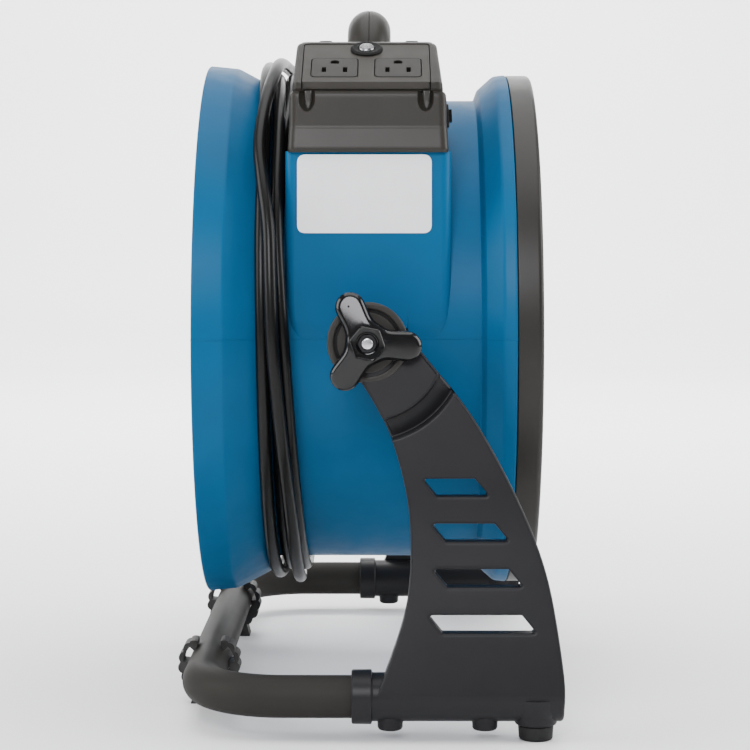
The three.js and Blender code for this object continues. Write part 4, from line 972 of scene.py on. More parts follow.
class MOVER_OT_fan(bpy.types.Operator):
    """Moulds the impeller and turns the shaft, core and nut"""
    bl_idname = "mover.fan"
    bl_label = "Fan"

    def execute(self, context):
        sleeve, floor = 0.0106, -0.0038
        inside = CUP_FRONT - CUP_WALL
        profile = rounded([(CUP_BACK, CUP_RADIUS), (CUP_FRONT, CUP_RADIUS), (CUP_FRONT, SHAFT_BORE),
                           (floor, SHAFT_BORE), (floor, sleeve), (inside, sleeve),
                           (inside, CUP_RADIUS - CUP_WALL), (CUP_BACK, CUP_RADIUS - CUP_WALL)],
                          [0.0005, 0.006, 0.0005, 0.0005, 0.001, 0.001, 0.004, 0.0005], 7)
        bm = solid(turned, profile, 128, ALONG_X)
        for k in range(2 * BLADES):
            cuboid(bm, (-0.0006, 0.0105, 0.006), (0.0006, CUP_RADIUS - 0.0035, CUP_FRONT - 0.0035),
                   spot=ALONG_X @ spin(FULL * k / (2 * BLADES), "Z"))
        for k in range(BLADES):
            self.blade(bm, at(0, 0, 0) @ spin(-FULL * k / BLADES, "X"))
        piece("fan_impeller", bm, "grille_black", "rotor", ["impeller"])
        profile = rounded([(-0.082, 0), (-0.082, 0.005), (0.047, 0.005), (0.047, 0)],
                          [0, 0.0008, 0.0008, 0], 4)
        bm = solid(turned, profile, 48, ALONG_X)
        piece("fan_shaft", bm, "bright_zinc", "rotor", ["motor_shaft"])
        profile = sheet_stack(-0.06, -0.02, 0.034, SHAFT_BORE)
        bm = solid(turned, profile, 72, ALONG_X)
        piece("fan_rotor_core", bm, "steel_sheets", "rotor", ["rotor_core"])
        bm = solid(hexagon_nut, 0.017, SHAFT_BORE, 0.0403, 0.0483, ALONG_X)
        piece("fan_nut", bm, "bright_zinc", "rotor", ["impeller_nut"])
        return {"FINISHED"}

    def blade(self, bm, spot):
        """A twisted blade from the cup to its narrowed tip"""
        rows = []
        for j in range(17):
            share = j / 16
            radius = BLADE_ROOT + (BLADE_TIP - BLADE_ROOT) * share
            pitch = math.radians(PITCH_ROOT + (PITCH_TIP - PITCH_ROOT) * share)
            chord = 0.062 + 0.03 * share
            if share > 0.9:
                chord *= 1 - 0.25 * ((share - 0.9) / 0.1) ** 2
            row = []
            for run, lift in blade_section(chord, 0.0044 * (1 - share / 2), 0.006):
                along = run * math.sin(pitch) + lift * math.cos(pitch)
                around = (run * math.cos(pitch) - lift * math.sin(pitch)) / radius
                row.append(Vector((along + CUP_BACK + 0.022, radius * math.sin(around),
                                   radius * math.cos(around))))
            rows.append(row)
        loft(bm, rows, spot)


def level(radius, z, sides):
    """A circle's row at height z."""
    return [Vector((*point, z)) for point in arc(radius, 0, FULL, sides)[:-1]]


def hexagon(flat, z, limit, sides, turn=0.0):
    """A hexagon's row at height z, with its corners cut off at the limit."""
    row = []
    for k in range(sides):
        t = FULL * k / sides
        reach = min(flat / math.cos((t - turn) % (math.pi / 3) - math.pi / 6), limit)
        row.append(Vector((reach * math.cos(t), reach * math.sin(t), z)))
    return row


def hexagon_nut(bm, across, bore, low, high, spot):
    """A hexagon nut with rounded corners, from low to high along the local Z axis."""
    sides, corner = 72, across / math.sqrt(3) * 0.985
    levels = ((low, 0.93, 1.08), (low + 0.0006, 1, 1), (high - 0.0008, 1, 1), (high, 0.92, 1.08))
    outside = [hexagon(across / 2, z, corner * share, sides) for z, share, _ in levels]
    inside = [level(bore * share, z, sides) for z, _, share in levels]
    loft(bm, outside + inside[::-1], spot, "ring")


class MOVER_OT_motor(bpy.types.Operator):
    """Turns the motor's shells, stator, bearings and bracket"""
    bl_idname = "mover.motor"
    bl_label = "Motor"

    def execute(self, context):
        for end, face, way in (("front", -0.0217, 1), ("rear", -0.0583, -1)):
            bm = solid(self.shell, face, way)
            piece(f"motor_{end}_cover", bm, "cast_aluminium", "drum",
                  [f"motor_{end}_shell"])
            seat = face + way * (0.028 - CLEARANCE)
            low, high = sorted((seat, seat - way * 0.009))
            profile = rounded([(low, SHAFT_BORE), (low, 0.013), (high, 0.013),
                               (high, SHAFT_BORE)], 0.0008, 4)
            bm = solid(turned, profile, 48, ALONG_X)
            piece(f"motor_{end}_bearing", bm, "bright_zinc", "drum", [f"{end}_bearing"])
        profile = sheet_stack(-0.058, -0.022, 0.058, 0.0346)
        bm = solid(turned, profile, 128, ALONG_X)
        piece("motor_stator_stack", bm, "steel_sheets", "drum", ["motor_stator"])
        bm = solid(self.bracket)
        piece("motor_band", bm, "tube_black", "drum", ["motor_bracket"])
        return {"FINISHED"}

    def shell(self, bm, face, way):
        """One half of the motor's housing with its ribs and bearing seat"""
        def at_depth(depth):
            return face + way * depth

        section = [(0, 0.058, 0.0004), (0.0085, 0.057, 0.006), (0.017, 0.041, 0.004),
                   (0.017, 0.017, 0.003), (0.032, 0.017, 0.002), (0.032, SHAFT_BORE, 0.0005),
                   (0.028, SHAFT_BORE, 0.0005), (0.028, 0.0133, 0.0005), (0.013, 0.0133, 0.0005),
                   (0.013, 0.037, 0.003), (0.0085, 0.053, 0.004), (0, 0.054, 0.0004)]
        profile = rounded([(at_depth(depth), radius) for depth, radius, _ in section],
                          [ease for _, _, ease in section], 6)
        turned(bm, profile, 128, ALONG_X)
        for k in range(8):
            rib = [(0.0165, 0.0165), (0.0165, 0.041), (0.0225, 0.036), (0.026, 0.0165)]
            rows = [[Vector((at_depth(depth), side, out)) for depth, out in rib]
                    for side in (-0.0009, 0.0009)]
            loft(bm, rows, at(0, 0, 0) @ spin(FULL * k / 8, "X"))

    def bracket(self, bm):
        """The clamp band and its four arms, each with a plate and two screws"""
        middle = -0.04
        low, high = middle - 0.011, middle + 0.011
        profile = rounded([(low, 0.0583), (low, 0.0608), (high, 0.0608), (high, 0.0583)], 0.0006, 3)
        turned(bm, profile, 128, ALONG_X)
        for k in range(ARMS):
            turn = at(0, 0, 0) @ spin((k + 0.5) * FULL / ARMS, "X")
            made = []
            for run, half, low, high in ((0.01, 0.00175, 0.0603, 0.1425),
                                         (0.017, 0.012, 0.1397, 0.1432)):
                made += cuboid(bm, (middle - run, -half, low), (middle + run, half, high), 0.0008)
            for x in (-0.011, 0.011):
                profile = [(0.1387, 0), (0.1386, 0.002), (0.1391, 0.0032), (0.14, 0.0034)]
                made += turned(bm, profile, 20, shift(middle + x, 0.0075, 0))
            moved(bm, made, turn)


# Legs: outlines as shares of the reach and the drop, counted from the pivot
LEG_REAR = [(-0.12, -0.066), (-0.023, -0.115), (0.118, -0.252), (0.204, -0.417),
            (0.222, -0.571), (0.195, -0.708), (0.096, -0.863), (0.032, -0.935)]
LEG_FRONT = [(1, -0.965), (0.9955, -0.86), (0.9186, -0.618), (0.7676, -0.412),
             (0.543, -0.1995), (0.285, -0.029), (0.156, 0.065)]
SLOT_LEFT = [0.283, 0.327, 0.334, 0.309]
SLOT_RIGHT = [0.553, 0.653, 0.722, 0.787]
SLOT_TOP, SLOT_STEP = 0.3632, 0.1184
SLOT_HEIGHT, SLOT_SLANT = 0.0098, 0.0082
PAD_SHARES = [0.117, 0.6]
FOOT_SHARE = 0.86
HUB_DEPTH = 0.0154
SLEEVE_RADIUS = 0.01365
PAD_FLOOR = 0.0055


class MOVER_OT_legs(bpy.types.Operator):
    """Moulds the two side legs with their slots, curved channel, hub and tube sleeve"""
    bl_idname = "mover.legs"
    bl_label = "Legs"

    def execute(self, context):
        leg = context.scene.mover_leg
        stand = context.scene.mover_stand
        face = leg.hub_face - leg.splay * leg.hub_radius
        lean = Matrix.Identity(4)
        lean[2][1] = -leg.splay
        rear = catmull([(x * leg.reach, z * leg.drop) for x, z in LEG_REAR], 12)
        front = catmull([(x * leg.reach, z * leg.drop) for x, z in LEG_FRONT], 12)
        bm = solid(prism, rear + front, face - leg.thickness, face, lean)
        slots = bmesh.new()
        for i, shares in enumerate(zip(SLOT_LEFT, SLOT_RIGHT)):
            top = -(SLOT_TOP + SLOT_STEP * i) * leg.drop
            bottom = top - SLOT_HEIGHT
            left, right = (share * leg.reach for share in shares)
            outline = rounded([(left, top), (left + SLOT_SLANT, bottom), (right + SLOT_SLANT, bottom),
                               (right, top)], 0.0014, 5)
            prism(slots, outline, face - 0.03, face + 0.02, lean)
        low = face - leg.channel_depth
        profile = rounded([(low + 0.0055, leg.channel_inner + 0.0005),
                           (low, leg.channel_outer - 0.0005),
                           (face + 0.01, leg.channel_outer + 0.0002),
                           (face + 0.01, leg.channel_inner - 0.0002)], [0.0012, 0.0012, 0, 0], 4)
        channel = solid(turned, profile, 192, lean)
        hub_back = leg.hub_face - HUB_DEPTH
        room_end = hub_back - 0.02
        profile = [(room_end, 0), (room_end, leg.hub_radius), (hub_back, leg.hub_radius),
                   (hub_back, 0)]
        rooms = solid(turned, profile, 96)
        bm = carved(bm, [slots, channel, rooms], leg.edge, 4, 40, False)
        self.flow_into_sleeve(bm, leg, stand.tube_half_width)
        moved(bm, bm.verts, OUTWARD)
        self.sleeve(bm, leg, stand)
        pair("leg_moulding", bm, "leg_black", "stand", ["leg"], 30)
        bm = solid(turned, self.hub(leg), 144, OUTWARD)
        pair("leg_hub", bm, "hub_black", "stand", (), 30)
        # A black ring in the hub's groove: painted shade that darkens the groove.
        low, high = leg.hub_face - 0.0048, leg.hub_face - 0.0018
        ring = rounded([(low, 0.0172), (low, 0.0194), (high, 0.0194), (high, 0.0172)], 0.0003, 3)
        bm = solid(turned, ring, 96, OUTWARD)
        pair("leg_hub_groove", bm, "deep_black", "stand", (), 30)
        self.feet(leg, stand)
        return {"FINISHED"}

    def flow_into_sleeve(self, bm, leg, reach):
        """Bends the plate's foot outward so that its face runs smoothly into the sleeve"""
        start, meet, middle, foot, cuts = 0.085, 0.1965, 0.1989, 0.2045, 40
        over, sunk = 0.00015, 0.0006
        straight = leg.hub_face - leg.splay * leg.hub_radius
        for k in range(cuts):
            cut = -(start + (foot - start) * k / (cuts - 1))
            bmesh.ops.bisect_plane(bm, geom=bm.verts[:] + bm.edges[:] + bm.faces[:],
                                   plane_co=(0, cut, 0), plane_no=(0, 1, 0), dist=NEAR_ZERO)

        def sleeve_face(drop):
            return reach + math.sqrt(max(SLEEVE_RADIUS ** 2 - (drop - middle) ** 2, 0))

        run = meet - start
        end_slope = (middle - meet) / math.sqrt(SLEEVE_RADIUS ** 2 - (middle - meet) ** 2)
        for vert in bm.verts:
            drop = -vert.co.y
            plain = straight + leg.splay * drop
            if drop > meet:
                sink = min((drop - meet) / 0.005, 1)
                vert.co.z += sleeve_face(drop) + over - sunk * sink - plain
            elif drop > start:
                face = hermite(straight + leg.splay * start, sleeve_face(meet) + over,
                               leg.splay * run, end_slope * run, (drop - start) / run)
                vert.co.z += face - plain

    def hub(self, leg):
        """The round hub's section, with the ring groove in its face"""
        low, high, r = leg.hub_face - HUB_DEPTH, leg.hub_face, leg.hub_radius + 0.0006
        return rounded([(low, 0.0035), (low, r - 0.001), (high, r), (high, 0.0192),
                        (high - 0.004, 0.0192), (high - 0.004, 0.0174), (high - 0.0007, 0.0174),
                        (high - 0.0007, 0.0035)],
                       [0.0001, 0.001, 0.0017, 0.0015, 0.0004, 0.0004, 0.0006, 0.0001], 6)

    def sleeve(self, bm, leg, stand):
        """The sleeve and collar over the tube, with the bosses under it"""
        side, drop = -stand.tube_half_width, -(PIVOT.z - stand.tube_height)
        along = at(0, side, drop) @ spin(QUARTER, "Y")
        end = leg.reach
        profile = rounded([(-0.0089, 0.0123), (-0.0089, 0.0152), (0.0025, 0.0153),
                           (0.0026, SLEEVE_RADIUS), (end, SLEEVE_RADIUS), (end, 0),
                           (0.073, 0), (0.073, 0.0123)],
                          [0.0006, 0.0012, 0.0009, 0.0012, 0.0022, 0, 0, 0.0002], 6)
        turned(bm, profile, 96, along)
        pad = (0.0071, PAD_FLOOR - PIVOT.z)
        for share, (radius, low) in ((PAD_SHARES[0], pad), (PAD_SHARES[1], pad),
                                     (FOOT_SHARE, (0.012, 0.0086 - PIVOT.z))):
            wide = radius * 1.12
            profile = [(low, 0), (low, radius - 0.0014), (low + 0.0004, radius - 0.0006),
                       (low + 0.0014, radius), (low + 0.0035, radius * 1.01),
                       (low + 0.0055, radius * 1.06), (low + 0.0075, radius * 1.18),
                       (drop, wide * 1.15), (drop, 0)]
            turned(bm, profile, 64, at(share * leg.reach, side, 0))

    def feet(self, leg, stand):
        """Rubber front feet and the screws that hold the tube"""
        side = -stand.tube_half_width
        floor = -PIVOT.z
        profile = rounded([(floor, 0), (floor, 0.0095), (floor + 0.0083, 0.0101),
                           (floor + 0.0083, 0.003), (floor + 0.0143, 0.003), (floor + 0.0143, 0)],
                          [0, 0.0022, 0.0008, 0.0002, 0.0004, 0], 6)
        bm = solid(turned, profile, 72, at(FOOT_SHARE * leg.reach, side, 0))
        pair("front_rubber_foot", bm, "foot_rubber", "stand", ["front_foot"])
        for share, node in zip(PAD_SHARES, ("rear_tube_screw", "front_tube_screw")):
            low = floor + PAD_FLOOR
            tip = -(PIVOT.z - stand.tube_height) - stand.tube_radius + 0.0016 + 0.004
            profile = [(low + 0.0012, 0), (low + 0.0012, 0.0011), (low, 0.0014),
                       (low + 0.0002, 0.0032), (low + 0.001, 0.0039), (low + 0.0024, 0.004),
                       (low + 0.0024, 0.0019),
                       (tip - 0.001, 0.0019), (tip, 0.0006), (tip, 0)]
            bm = solid(turned, profile, 40, at(share * leg.reach, side, 0))
            pair(f"{node}_turned", bm, "bright_zinc", "stand", [node])


# Stand
SADDLE_SIDE = -0.113


class MOVER_OT_stand(bpy.types.Operator):
    """Bends the stand's tube and clips the saddle feet on it"""
    bl_idname = "mover.stand"
    bl_label = "Stand"

    def execute(self, context):
        stand = context.scene.mover_stand
        half, height, bend = stand.tube_half_width, stand.tube_height, stand.tube_bend
        cross = -0.0943
        end = PIVOT.x + 0.072
        line = [(end, -half)]
        for side, start in ((-1, math.pi + QUARTER), (1, math.pi)):
            line += arc(bend, start, start - QUARTER, 32, (cross + bend, side * (half - bend)))
        line = [Vector((*point, height)) for point in (*line, (end, half))]
        bm = solid(swept, line, arc(stand.tube_radius, 0, FULL, 64)[:-1], Vector((0, 0, 1)))
        piece("stand_frame_tube", bm, "tube_black", "stand", ["stand_tube"])
        self.saddle(cross, height)
        return {"FINISHED"}

    def saddle(self, cross, height):
        """A clip round the cross run with scalloped ears over a sole"""
        start, stop = math.radians(64), math.radians(-60)
        plain, ears, depth = 0.12, 5.5, 0.0017
        side = []
        for k in range(121):
            t = k / 120
            turn = start + (stop - start) * t
            wave = 0.5 + 1.44 * (1 - t / plain) ** 2
            if t > plain:
                wave = 1 - abs(math.sin(math.pi * ears * (t - plain))) ** 0.8
            radius = 0.0189 - depth * wave
            side.append((radius * math.cos(turn), radius * math.sin(turn)))
        side += [(0.0098, -0.0185), (0.0112, -height)]
        outline = side + [(-x, z) for x, z in reversed(side)]
        bm = solid(prism, outline, -0.009, 0.009)
        cut = 0.02
        bore = solid(turned, [(-cut, 0), (-cut, 0.01225), (cut, 0.01225), (cut, 0)], 96)
        outline = [(-0.0075, 0.003), (0.0075, 0.003), (0.0062, 0.03), (-0.0062, 0.03)]
        mouth = solid(prism, outline, -cut, cut)
        holes = bmesh.new()
        low, high = math.radians(6), math.radians(42)
        for way in (1, -1):
            gap = [*arc(0.0157, low, high, 12), *arc(0.0118, high, low, 12)]
            gap = [(way * x, z) for x, z in gap]
            prism(holes, rounded(gap, 0.0008, 3), -cut, cut)
        bm = carved(bm, [bore, mouth, holes], 0.0007, 2)
        spot = shift(cross, SADDLE_SIDE, height) @ spin(QUARTER, "X")
        moved(bm, bm.verts, spot)
        pair("rear_saddle_foot", bm, "saddle_rubber", "stand", ["rear_foot"])


# Control box
BOX_BASE = 0.1113
BOX_TOP = 0.1792
PANEL_TILT = math.radians(28)
PANEL_SHIFT = -0.0012
SCOOPS = (-0.0362, 0.034)
SCOOP_RADIUS = 0.0049
SCOOP_TOP = 0.1467
OUTLET_SPOTS = (("left_outlet", -0.019), ("right_outlet", 0.019))
OUTLET_RUN = 0.0206
GROUND_HOLE = 0.0026
BOX_BACK = -0.0845
BARREL_ROOM = 0.149
SILL = (0.1518, -0.1488, 0.0437)
BREAKER_RUN = 0.047
HOOD_ROWS = 15
HOOD_CROWN = 13
PANEL = at(PANEL_SHIFT, -0.1476, 0.152) @ spin(PANEL_TILT, "X")


def barrel_cutter(half):
    """A solid barrel that clears what is moulded onto the drum."""
    profile = [(-half, 0), (-half, BARREL_ROOM), (half, BARREL_ROOM), (half, 0)]
    return solid(turned, profile, 256, ALONG_X)


class MOVER_OT_control_box(bpy.types.Operator):
    """Moulds the control box with its panel, outlets, breaker and speed switch"""
    bl_idname = "mover.control_box"
    bl_label = "Control box"

    def execute(self, context):
        self.box()
        self.panel()
        self.outlets()
        self.breaker()
        self.switch()
        self.capacitor()
        return {"FINISHED"}

    def box(self):
        """The case as rows of (up, front, half width), less its barrel, recess and scoops"""
        rows = [(BOX_BASE - 0.001, -0.1506, 0.0474), (0.1116, -0.1512, 0.0476),
                (0.1124, -0.1514, 0.0476), (0.114, -0.1512, 0.0475), (0.1238, -0.1491, 0.0468),
                (0.1246, -0.1488, 0.0467), (0.1253, -0.14855, 0.0466), (0.1264, -0.1484, 0.0465),
                (0.1425, -0.1478, 0.046), (0.1444, -0.1476, 0.0458), (0.1456, -0.1472, 0.0453),
                (0.1462, -0.1466, 0.0446), (0.1466, -0.1466, 0.0442), (0.148, -0.1484, 0.0441),
                (0.1505, -0.1491, 0.0439), SILL]
        sill_z, sill_front, sill_half = SILL
        shares = [k / HOOD_ROWS for k in range(1, HOOD_CROWN + 1)]
        shares += [(HOOD_CROWN + k / 5) / HOOD_ROWS for k in range(1, 11)]
        for share in shares:
            z = sill_z + (BOX_TOP - sill_z) * share
            front = sill_front + (z - sill_z) / math.tan(PANEL_TILT)
            rise = max(0.0, (HOOD_ROWS * share - HOOD_CROWN) / (HOOD_ROWS - HOOD_CROWN))
            crown = 1 - math.sqrt(max(0.0, 1 - rise ** 2))
            rows.append((z, front, sill_half - 0.0016 * share - 0.0025 * crown))
        top_z, top_front, top_half = rows[-1]
        rows += [(top_z + 0.0006, top_front + 0.002, top_half - 0.0003),
                 (top_z + 0.0008, top_front + 0.0035, top_half - 0.0012)]
        skin = []
        for z, front, half in rows:
            corner = min(0.0052, (BOX_BACK - front) * 0.45)
            share = min(max((z - BOX_BASE) / (BOX_TOP - BOX_BASE), 0), 1)
            lean, bulge = 0.0018 * share, 0.0013 * min(2.4 * share, 1)
            left, right = -half - lean, half - lean + bulge
            ring = rounded([(left, front), (right, front), (right, BOX_BACK), (left, BOX_BACK)],
                           corner, 8)
            skin.append([PIVOT + Vector((x, y, z)) for x, y in ring])
        bm = solid(loft, skin)
        barrel = barrel_cutter(0.06)
        outline = rounded([(-0.0384, -0.006), (0.0384, -0.006), (0.0384, 0.0558), (-0.0384, 0.0558)],
                          [0.0001, 0.0001, 0.003, 0.003], 5)
        recess = solid(prism, outline, -0.0054, 0.01, PANEL)
        scoops = bmesh.new()
        for x in SCOOPS:
            bowl = arc(SCOOP_RADIUS, 0, QUARTER, 10)
            profile = [(0.1343 + 0.0078 * (1 - down / SCOOP_RADIUS), out) for down, out in bowl]
            profile += [(SCOOP_TOP, SCOOP_RADIUS), (SCOOP_TOP, 0)]
            turned(scoops, profile, 48, at(x, -0.1483, 0))
        window = solid(cuboid, (0.03, -0.1274, 0.1276), (0.06, -0.1086, 0.1384), 0, at(0, 0, 0))
        bm = carved(bm, [barrel, recess, scoops, window], 0.0006, 2, 35)
        # The screw towers in the scoops get a lighter grey than the case: a painted highlight.
        towers = bmesh.new()
        for x in SCOOPS:
            profile = [(0.1352, 0), (0.1358, 0.0008), (0.1372, 0.0015), (0.139, 0.002),
                       (0.1415, 0.0023), (SCOOP_TOP, 0.0025), (SCOOP_TOP, 0)]
            turned(towers, profile, 32, at(x + 0.0007, -0.1449, 0))
        piece("control_box_screw_towers", towers, "tower_grey", "drum", (), 30)
        for x in (-0.0265, 0.0265):
            cuboid(bm, (x - 0.004, -0.0905, BOX_TOP - 0.003),
                   (x + 0.004, -0.0875, BOX_TOP + 0.0018), 0.0009, at(0, 0, 0))
        piece("control_box_case", bm, "box_grey", "drum", ["control_box"], 30)

    def panel(self):
        """The flat plate with windows for the outlets and the breaker"""
        outline = rounded([(-0.038, 0), (0.038, 0), (0.038, 0.0555), (-0.038, 0.0555)],
                          [0.0008, 0.0008, 0.0026, 0.0026], 6)
        bm = solid(prism, outline, -0.005, 0)
        cutters = []
        for _, x in OUTLET_SPOTS:
            outline = rounded_rectangle(0.0284, 0.0278, 0.0034, 6)
            cutters.append(solid(prism, outline, -0.01, 0.01, shift(x, OUTLET_RUN, 0)))
        profile = [(-0.01, 0), (-0.01, 0.0063), (0.01, 0.0063), (0.01, 0)]
        cutters.append(solid(turned, profile, 64, shift(0, BREAKER_RUN, 0)))
        bm = carved(bm, cutters, 0.0005, 2)
        moved(bm, bm.verts, PANEL)
        piece("control_panel_plate", bm, "panel_grey", "drum", ["control_panel"])

    def outlets(self):
        """The two grounded outlets, each with two slots and a round hole"""
        for name, x in OUTLET_SPOTS:
            bm = solid(prism, rounded_rectangle(0.0275, 0.0269, 0.0031, 6), -0.018, 0.0002)
            cutters = []
            for side in (-BLADE_SPACING, BLADE_SPACING):
                low = (side - 0.00125, -0.0066, -0.009)
                cutters.append(solid(cuboid, low, (side + 0.00125, 0.0002, 0.003)))
            dome = arc(GROUND_HOLE, 0, math.pi, 12, (0, 0.0078))
            outline = [*dome, (-GROUND_HOLE, 0.0058), (GROUND_HOLE, 0.0058)]
            cutters.append(solid(prism, outline, -0.009, 0.003))
            bm = carved(bm, cutters, 0.0004, 2)
            moved(bm, bm.verts, PANEL @ shift(x, OUTLET_RUN, 0))
            piece(f"{name}_face", bm, "outlet_black", "drum", [name])

    def breaker(self):
        """The breaker's bush in the panel and its push button"""
        spot = PANEL @ shift(0, BREAKER_RUN, 0)
        profile = rounded([(-0.016, 0), (-0.016, 0.006), (0.0002, 0.006), (0.0002, 0.0098),
                           (0.0009, 0.0099), (0.0019, 0.0086), (0.0014, 0.0062), (0.0014, 0.0051),
                           (-0.013, 0.0051), (-0.013, 0)],
                          [0, 0.0006, 0.0001, 0.0004, 0.0006, 0.0014, 0.0006, 0.0003, 0.0003, 0], 6)
        bm = solid(turned, profile, 96, spot)
        piece("breaker_bush", bm, "deep_black", "drum", ["breaker_body"])
        profile = rounded([(-0.0102, 0), (-0.0102, 0.0048), (0.0016, 0.0048), (0.003, 0.0034),
                           (0.0024, 0.0026), (0.0024, 0)], [0, 0.0003, 0.0012, 0.0006, 0.0004, 0], 6)
        bm = solid(turned, profile, 64, spot)
        piece("breaker_cap", bm, "worn_zinc", "breaker_button", ["breaker_button"])

    def switch(self):
        """The speed switch and its rocker on the end wall that faces the outlet"""
        half, taper, up = 0.0474, 0.065, 0.133
        share = (up - BOX_BASE) / (BOX_TOP - BOX_BASE)
        lean = math.atan(taper * half / (BOX_TOP - BOX_BASE))
        spot = at(half * (1 - taper * share), -0.118, up)
        spot = spot @ spin(-lean, "Y") @ spin(QUARTER, "Y") @ spin(QUARTER, "Z")
        bm = solid(prism, rounded_rectangle(0.022, 0.014, 0.002, 6), 0.0003, 0.0019)
        prism(bm, rounded_rectangle(0.0176, 0.0096, 0.001, 4), -0.014, 0.001)
        window = solid(prism, rounded_rectangle(0.0156, 0.0082, 0.0008, 4), -0.011, 0.01)
        bm = carved(bm, [window], 0.0004, 2)
        moved(bm, bm.verts, spot)
        piece("speed_switch_frame", bm, "outlet_black", "drum", ["speed_switch_body"])
        shares = [k / 16 for k in range(17)]
        face = [(-0.0065 + 0.013 * t, 0.004 * ((1 - t) ** 2 + t * t)) for t in shares]
        face += [(0.0065 - 0.013 * t, -0.001 * ((1 - t) ** 2 + t * t) - 0.026 * t * (1 - t))
                 for t in shares]
        rows = [[Vector((x, across, z)) for x, z in rounded(face, 0.0004, 3)]
                for across in (-0.0038, 0.0038)]
        bm = solid(loft, rows, spot)
        piece("speed_rocker_cap", bm, "knob_black", "speed_rocker", ["speed_rocker"])

    def capacitor(self):
        """The run capacitor that lies in the box"""
        profile = rounded([(-0.029, 0), (-0.029, 0.0105), (0.026, 0.0105), (0.027, 0.0098),
                           (0.029, 0.0105), (0.029, 0)], [0, 0.0015, 0.0006, 0.0006, 0.0006, 0], 5)
        spot = at(-0.006, -0.13, BOX_BASE + 0.0138)
        bm = solid(turned, profile, 64, spot @ spin(QUARTER, "Y"))
        piece("run_capacitor_can", bm, "cast_aluminium", "drum", ["run_capacitor"])


# Handle
class MOVER_OT_handle(bpy.types.Operator):
    """Moulds the carrying handle's two halves, which meet on a seam"""
    bl_idname = "mover.handle"
    bl_label = "Handle"

    def execute(self, context):
        radius, height, span, bend = 0.0136, 0.1905, 0.066, 0.026
        foot, gap, ease = 0.12, 0.00003, 0.0004
        line = [(-span, foot), *arc(bend, math.pi, QUARTER, 20, (-span + bend, height - bend)),
                *arc(bend, QUARTER, 0, 20, (span - bend, height - bend)), (span, foot)]
        line = [PIVOT + Vector((0, y, z)) for y, z in line]
        seam = math.radians(86.5)
        for name, side in (("left", -1), ("right", 1)):
            half = [(gap, -radius + ease), (gap + ease * 0.4, -radius + ease * 0.3),
                    *arc(radius, -seam, seam, 34),
                    (gap + ease * 0.4, radius - ease * 0.3), (gap, radius - ease)]
            bm = solid(swept, line, [(side * x, y) for x, y in half], Vector((1, 0, 0)))
            bm = carved(bm, [barrel_cutter(0.02)])
            piece(f"handle_{name}_shell", bm, "box_grey", "drum", [f"handle_{name}_half"],
                  40)
        return {"FINISHED"}


# Pivots
LOBE_REACH = 0.0226
LOBE_RADIUS = 0.0086
EYE = 0.0075
NUT_HOLE = 0.0036
BOLT_BORE = 0.0035
BOLT_RADIUS = 0.0032
BOLT_HEAD = 0.145
BOLT_END = 0.2094
KNOB_LIFT = 0.0016
KNOB_MARK = (math.radians(117), 0.0236)


def knob_outline(steps=10):
    """The knob's three lobes and waists, as a smooth closed outline."""
    points = []
    for i in range(3):
        middle = math.radians(-4.5) + FULL * i / 3
        lobe = Vector((math.cos(middle), math.sin(middle))) * LOBE_REACH
        points += arc(LOBE_RADIUS, middle - QUARTER, middle + QUARTER, 6, lobe)
        for share, radius in ((0.3, 0.0149), (0.5, 0.0129), (0.7, 0.0149)):
            turn = middle + share * FULL / 3
            points.append(Vector((radius * math.cos(turn), radius * math.sin(turn))))
    total = len(points)
    return [flowing(*[points[(i + n) % total] for n in (-1, 0, 1, 2)], k / steps)
            for i in range(total) for k in range(steps)]


def inward(outline, depth):
    """The closed outline moved inward by the depth."""
    result = []
    total = len(outline)
    for i, point in enumerate(outline):
        run = outline[(i + 1) % total] - outline[i - 1]
        normal = Vector((-run.y, run.x)).normalized()
        result.append(point + normal * depth)
    return result


def washer_profile(low, thickness, radius, ease):
    """A washer's section as (along, radius), round the pivot bolt."""
    high = low + thickness
    return rounded([(low, BOLT_BORE), (low, radius), (high, radius), (high, BOLT_BORE)], ease, 3)


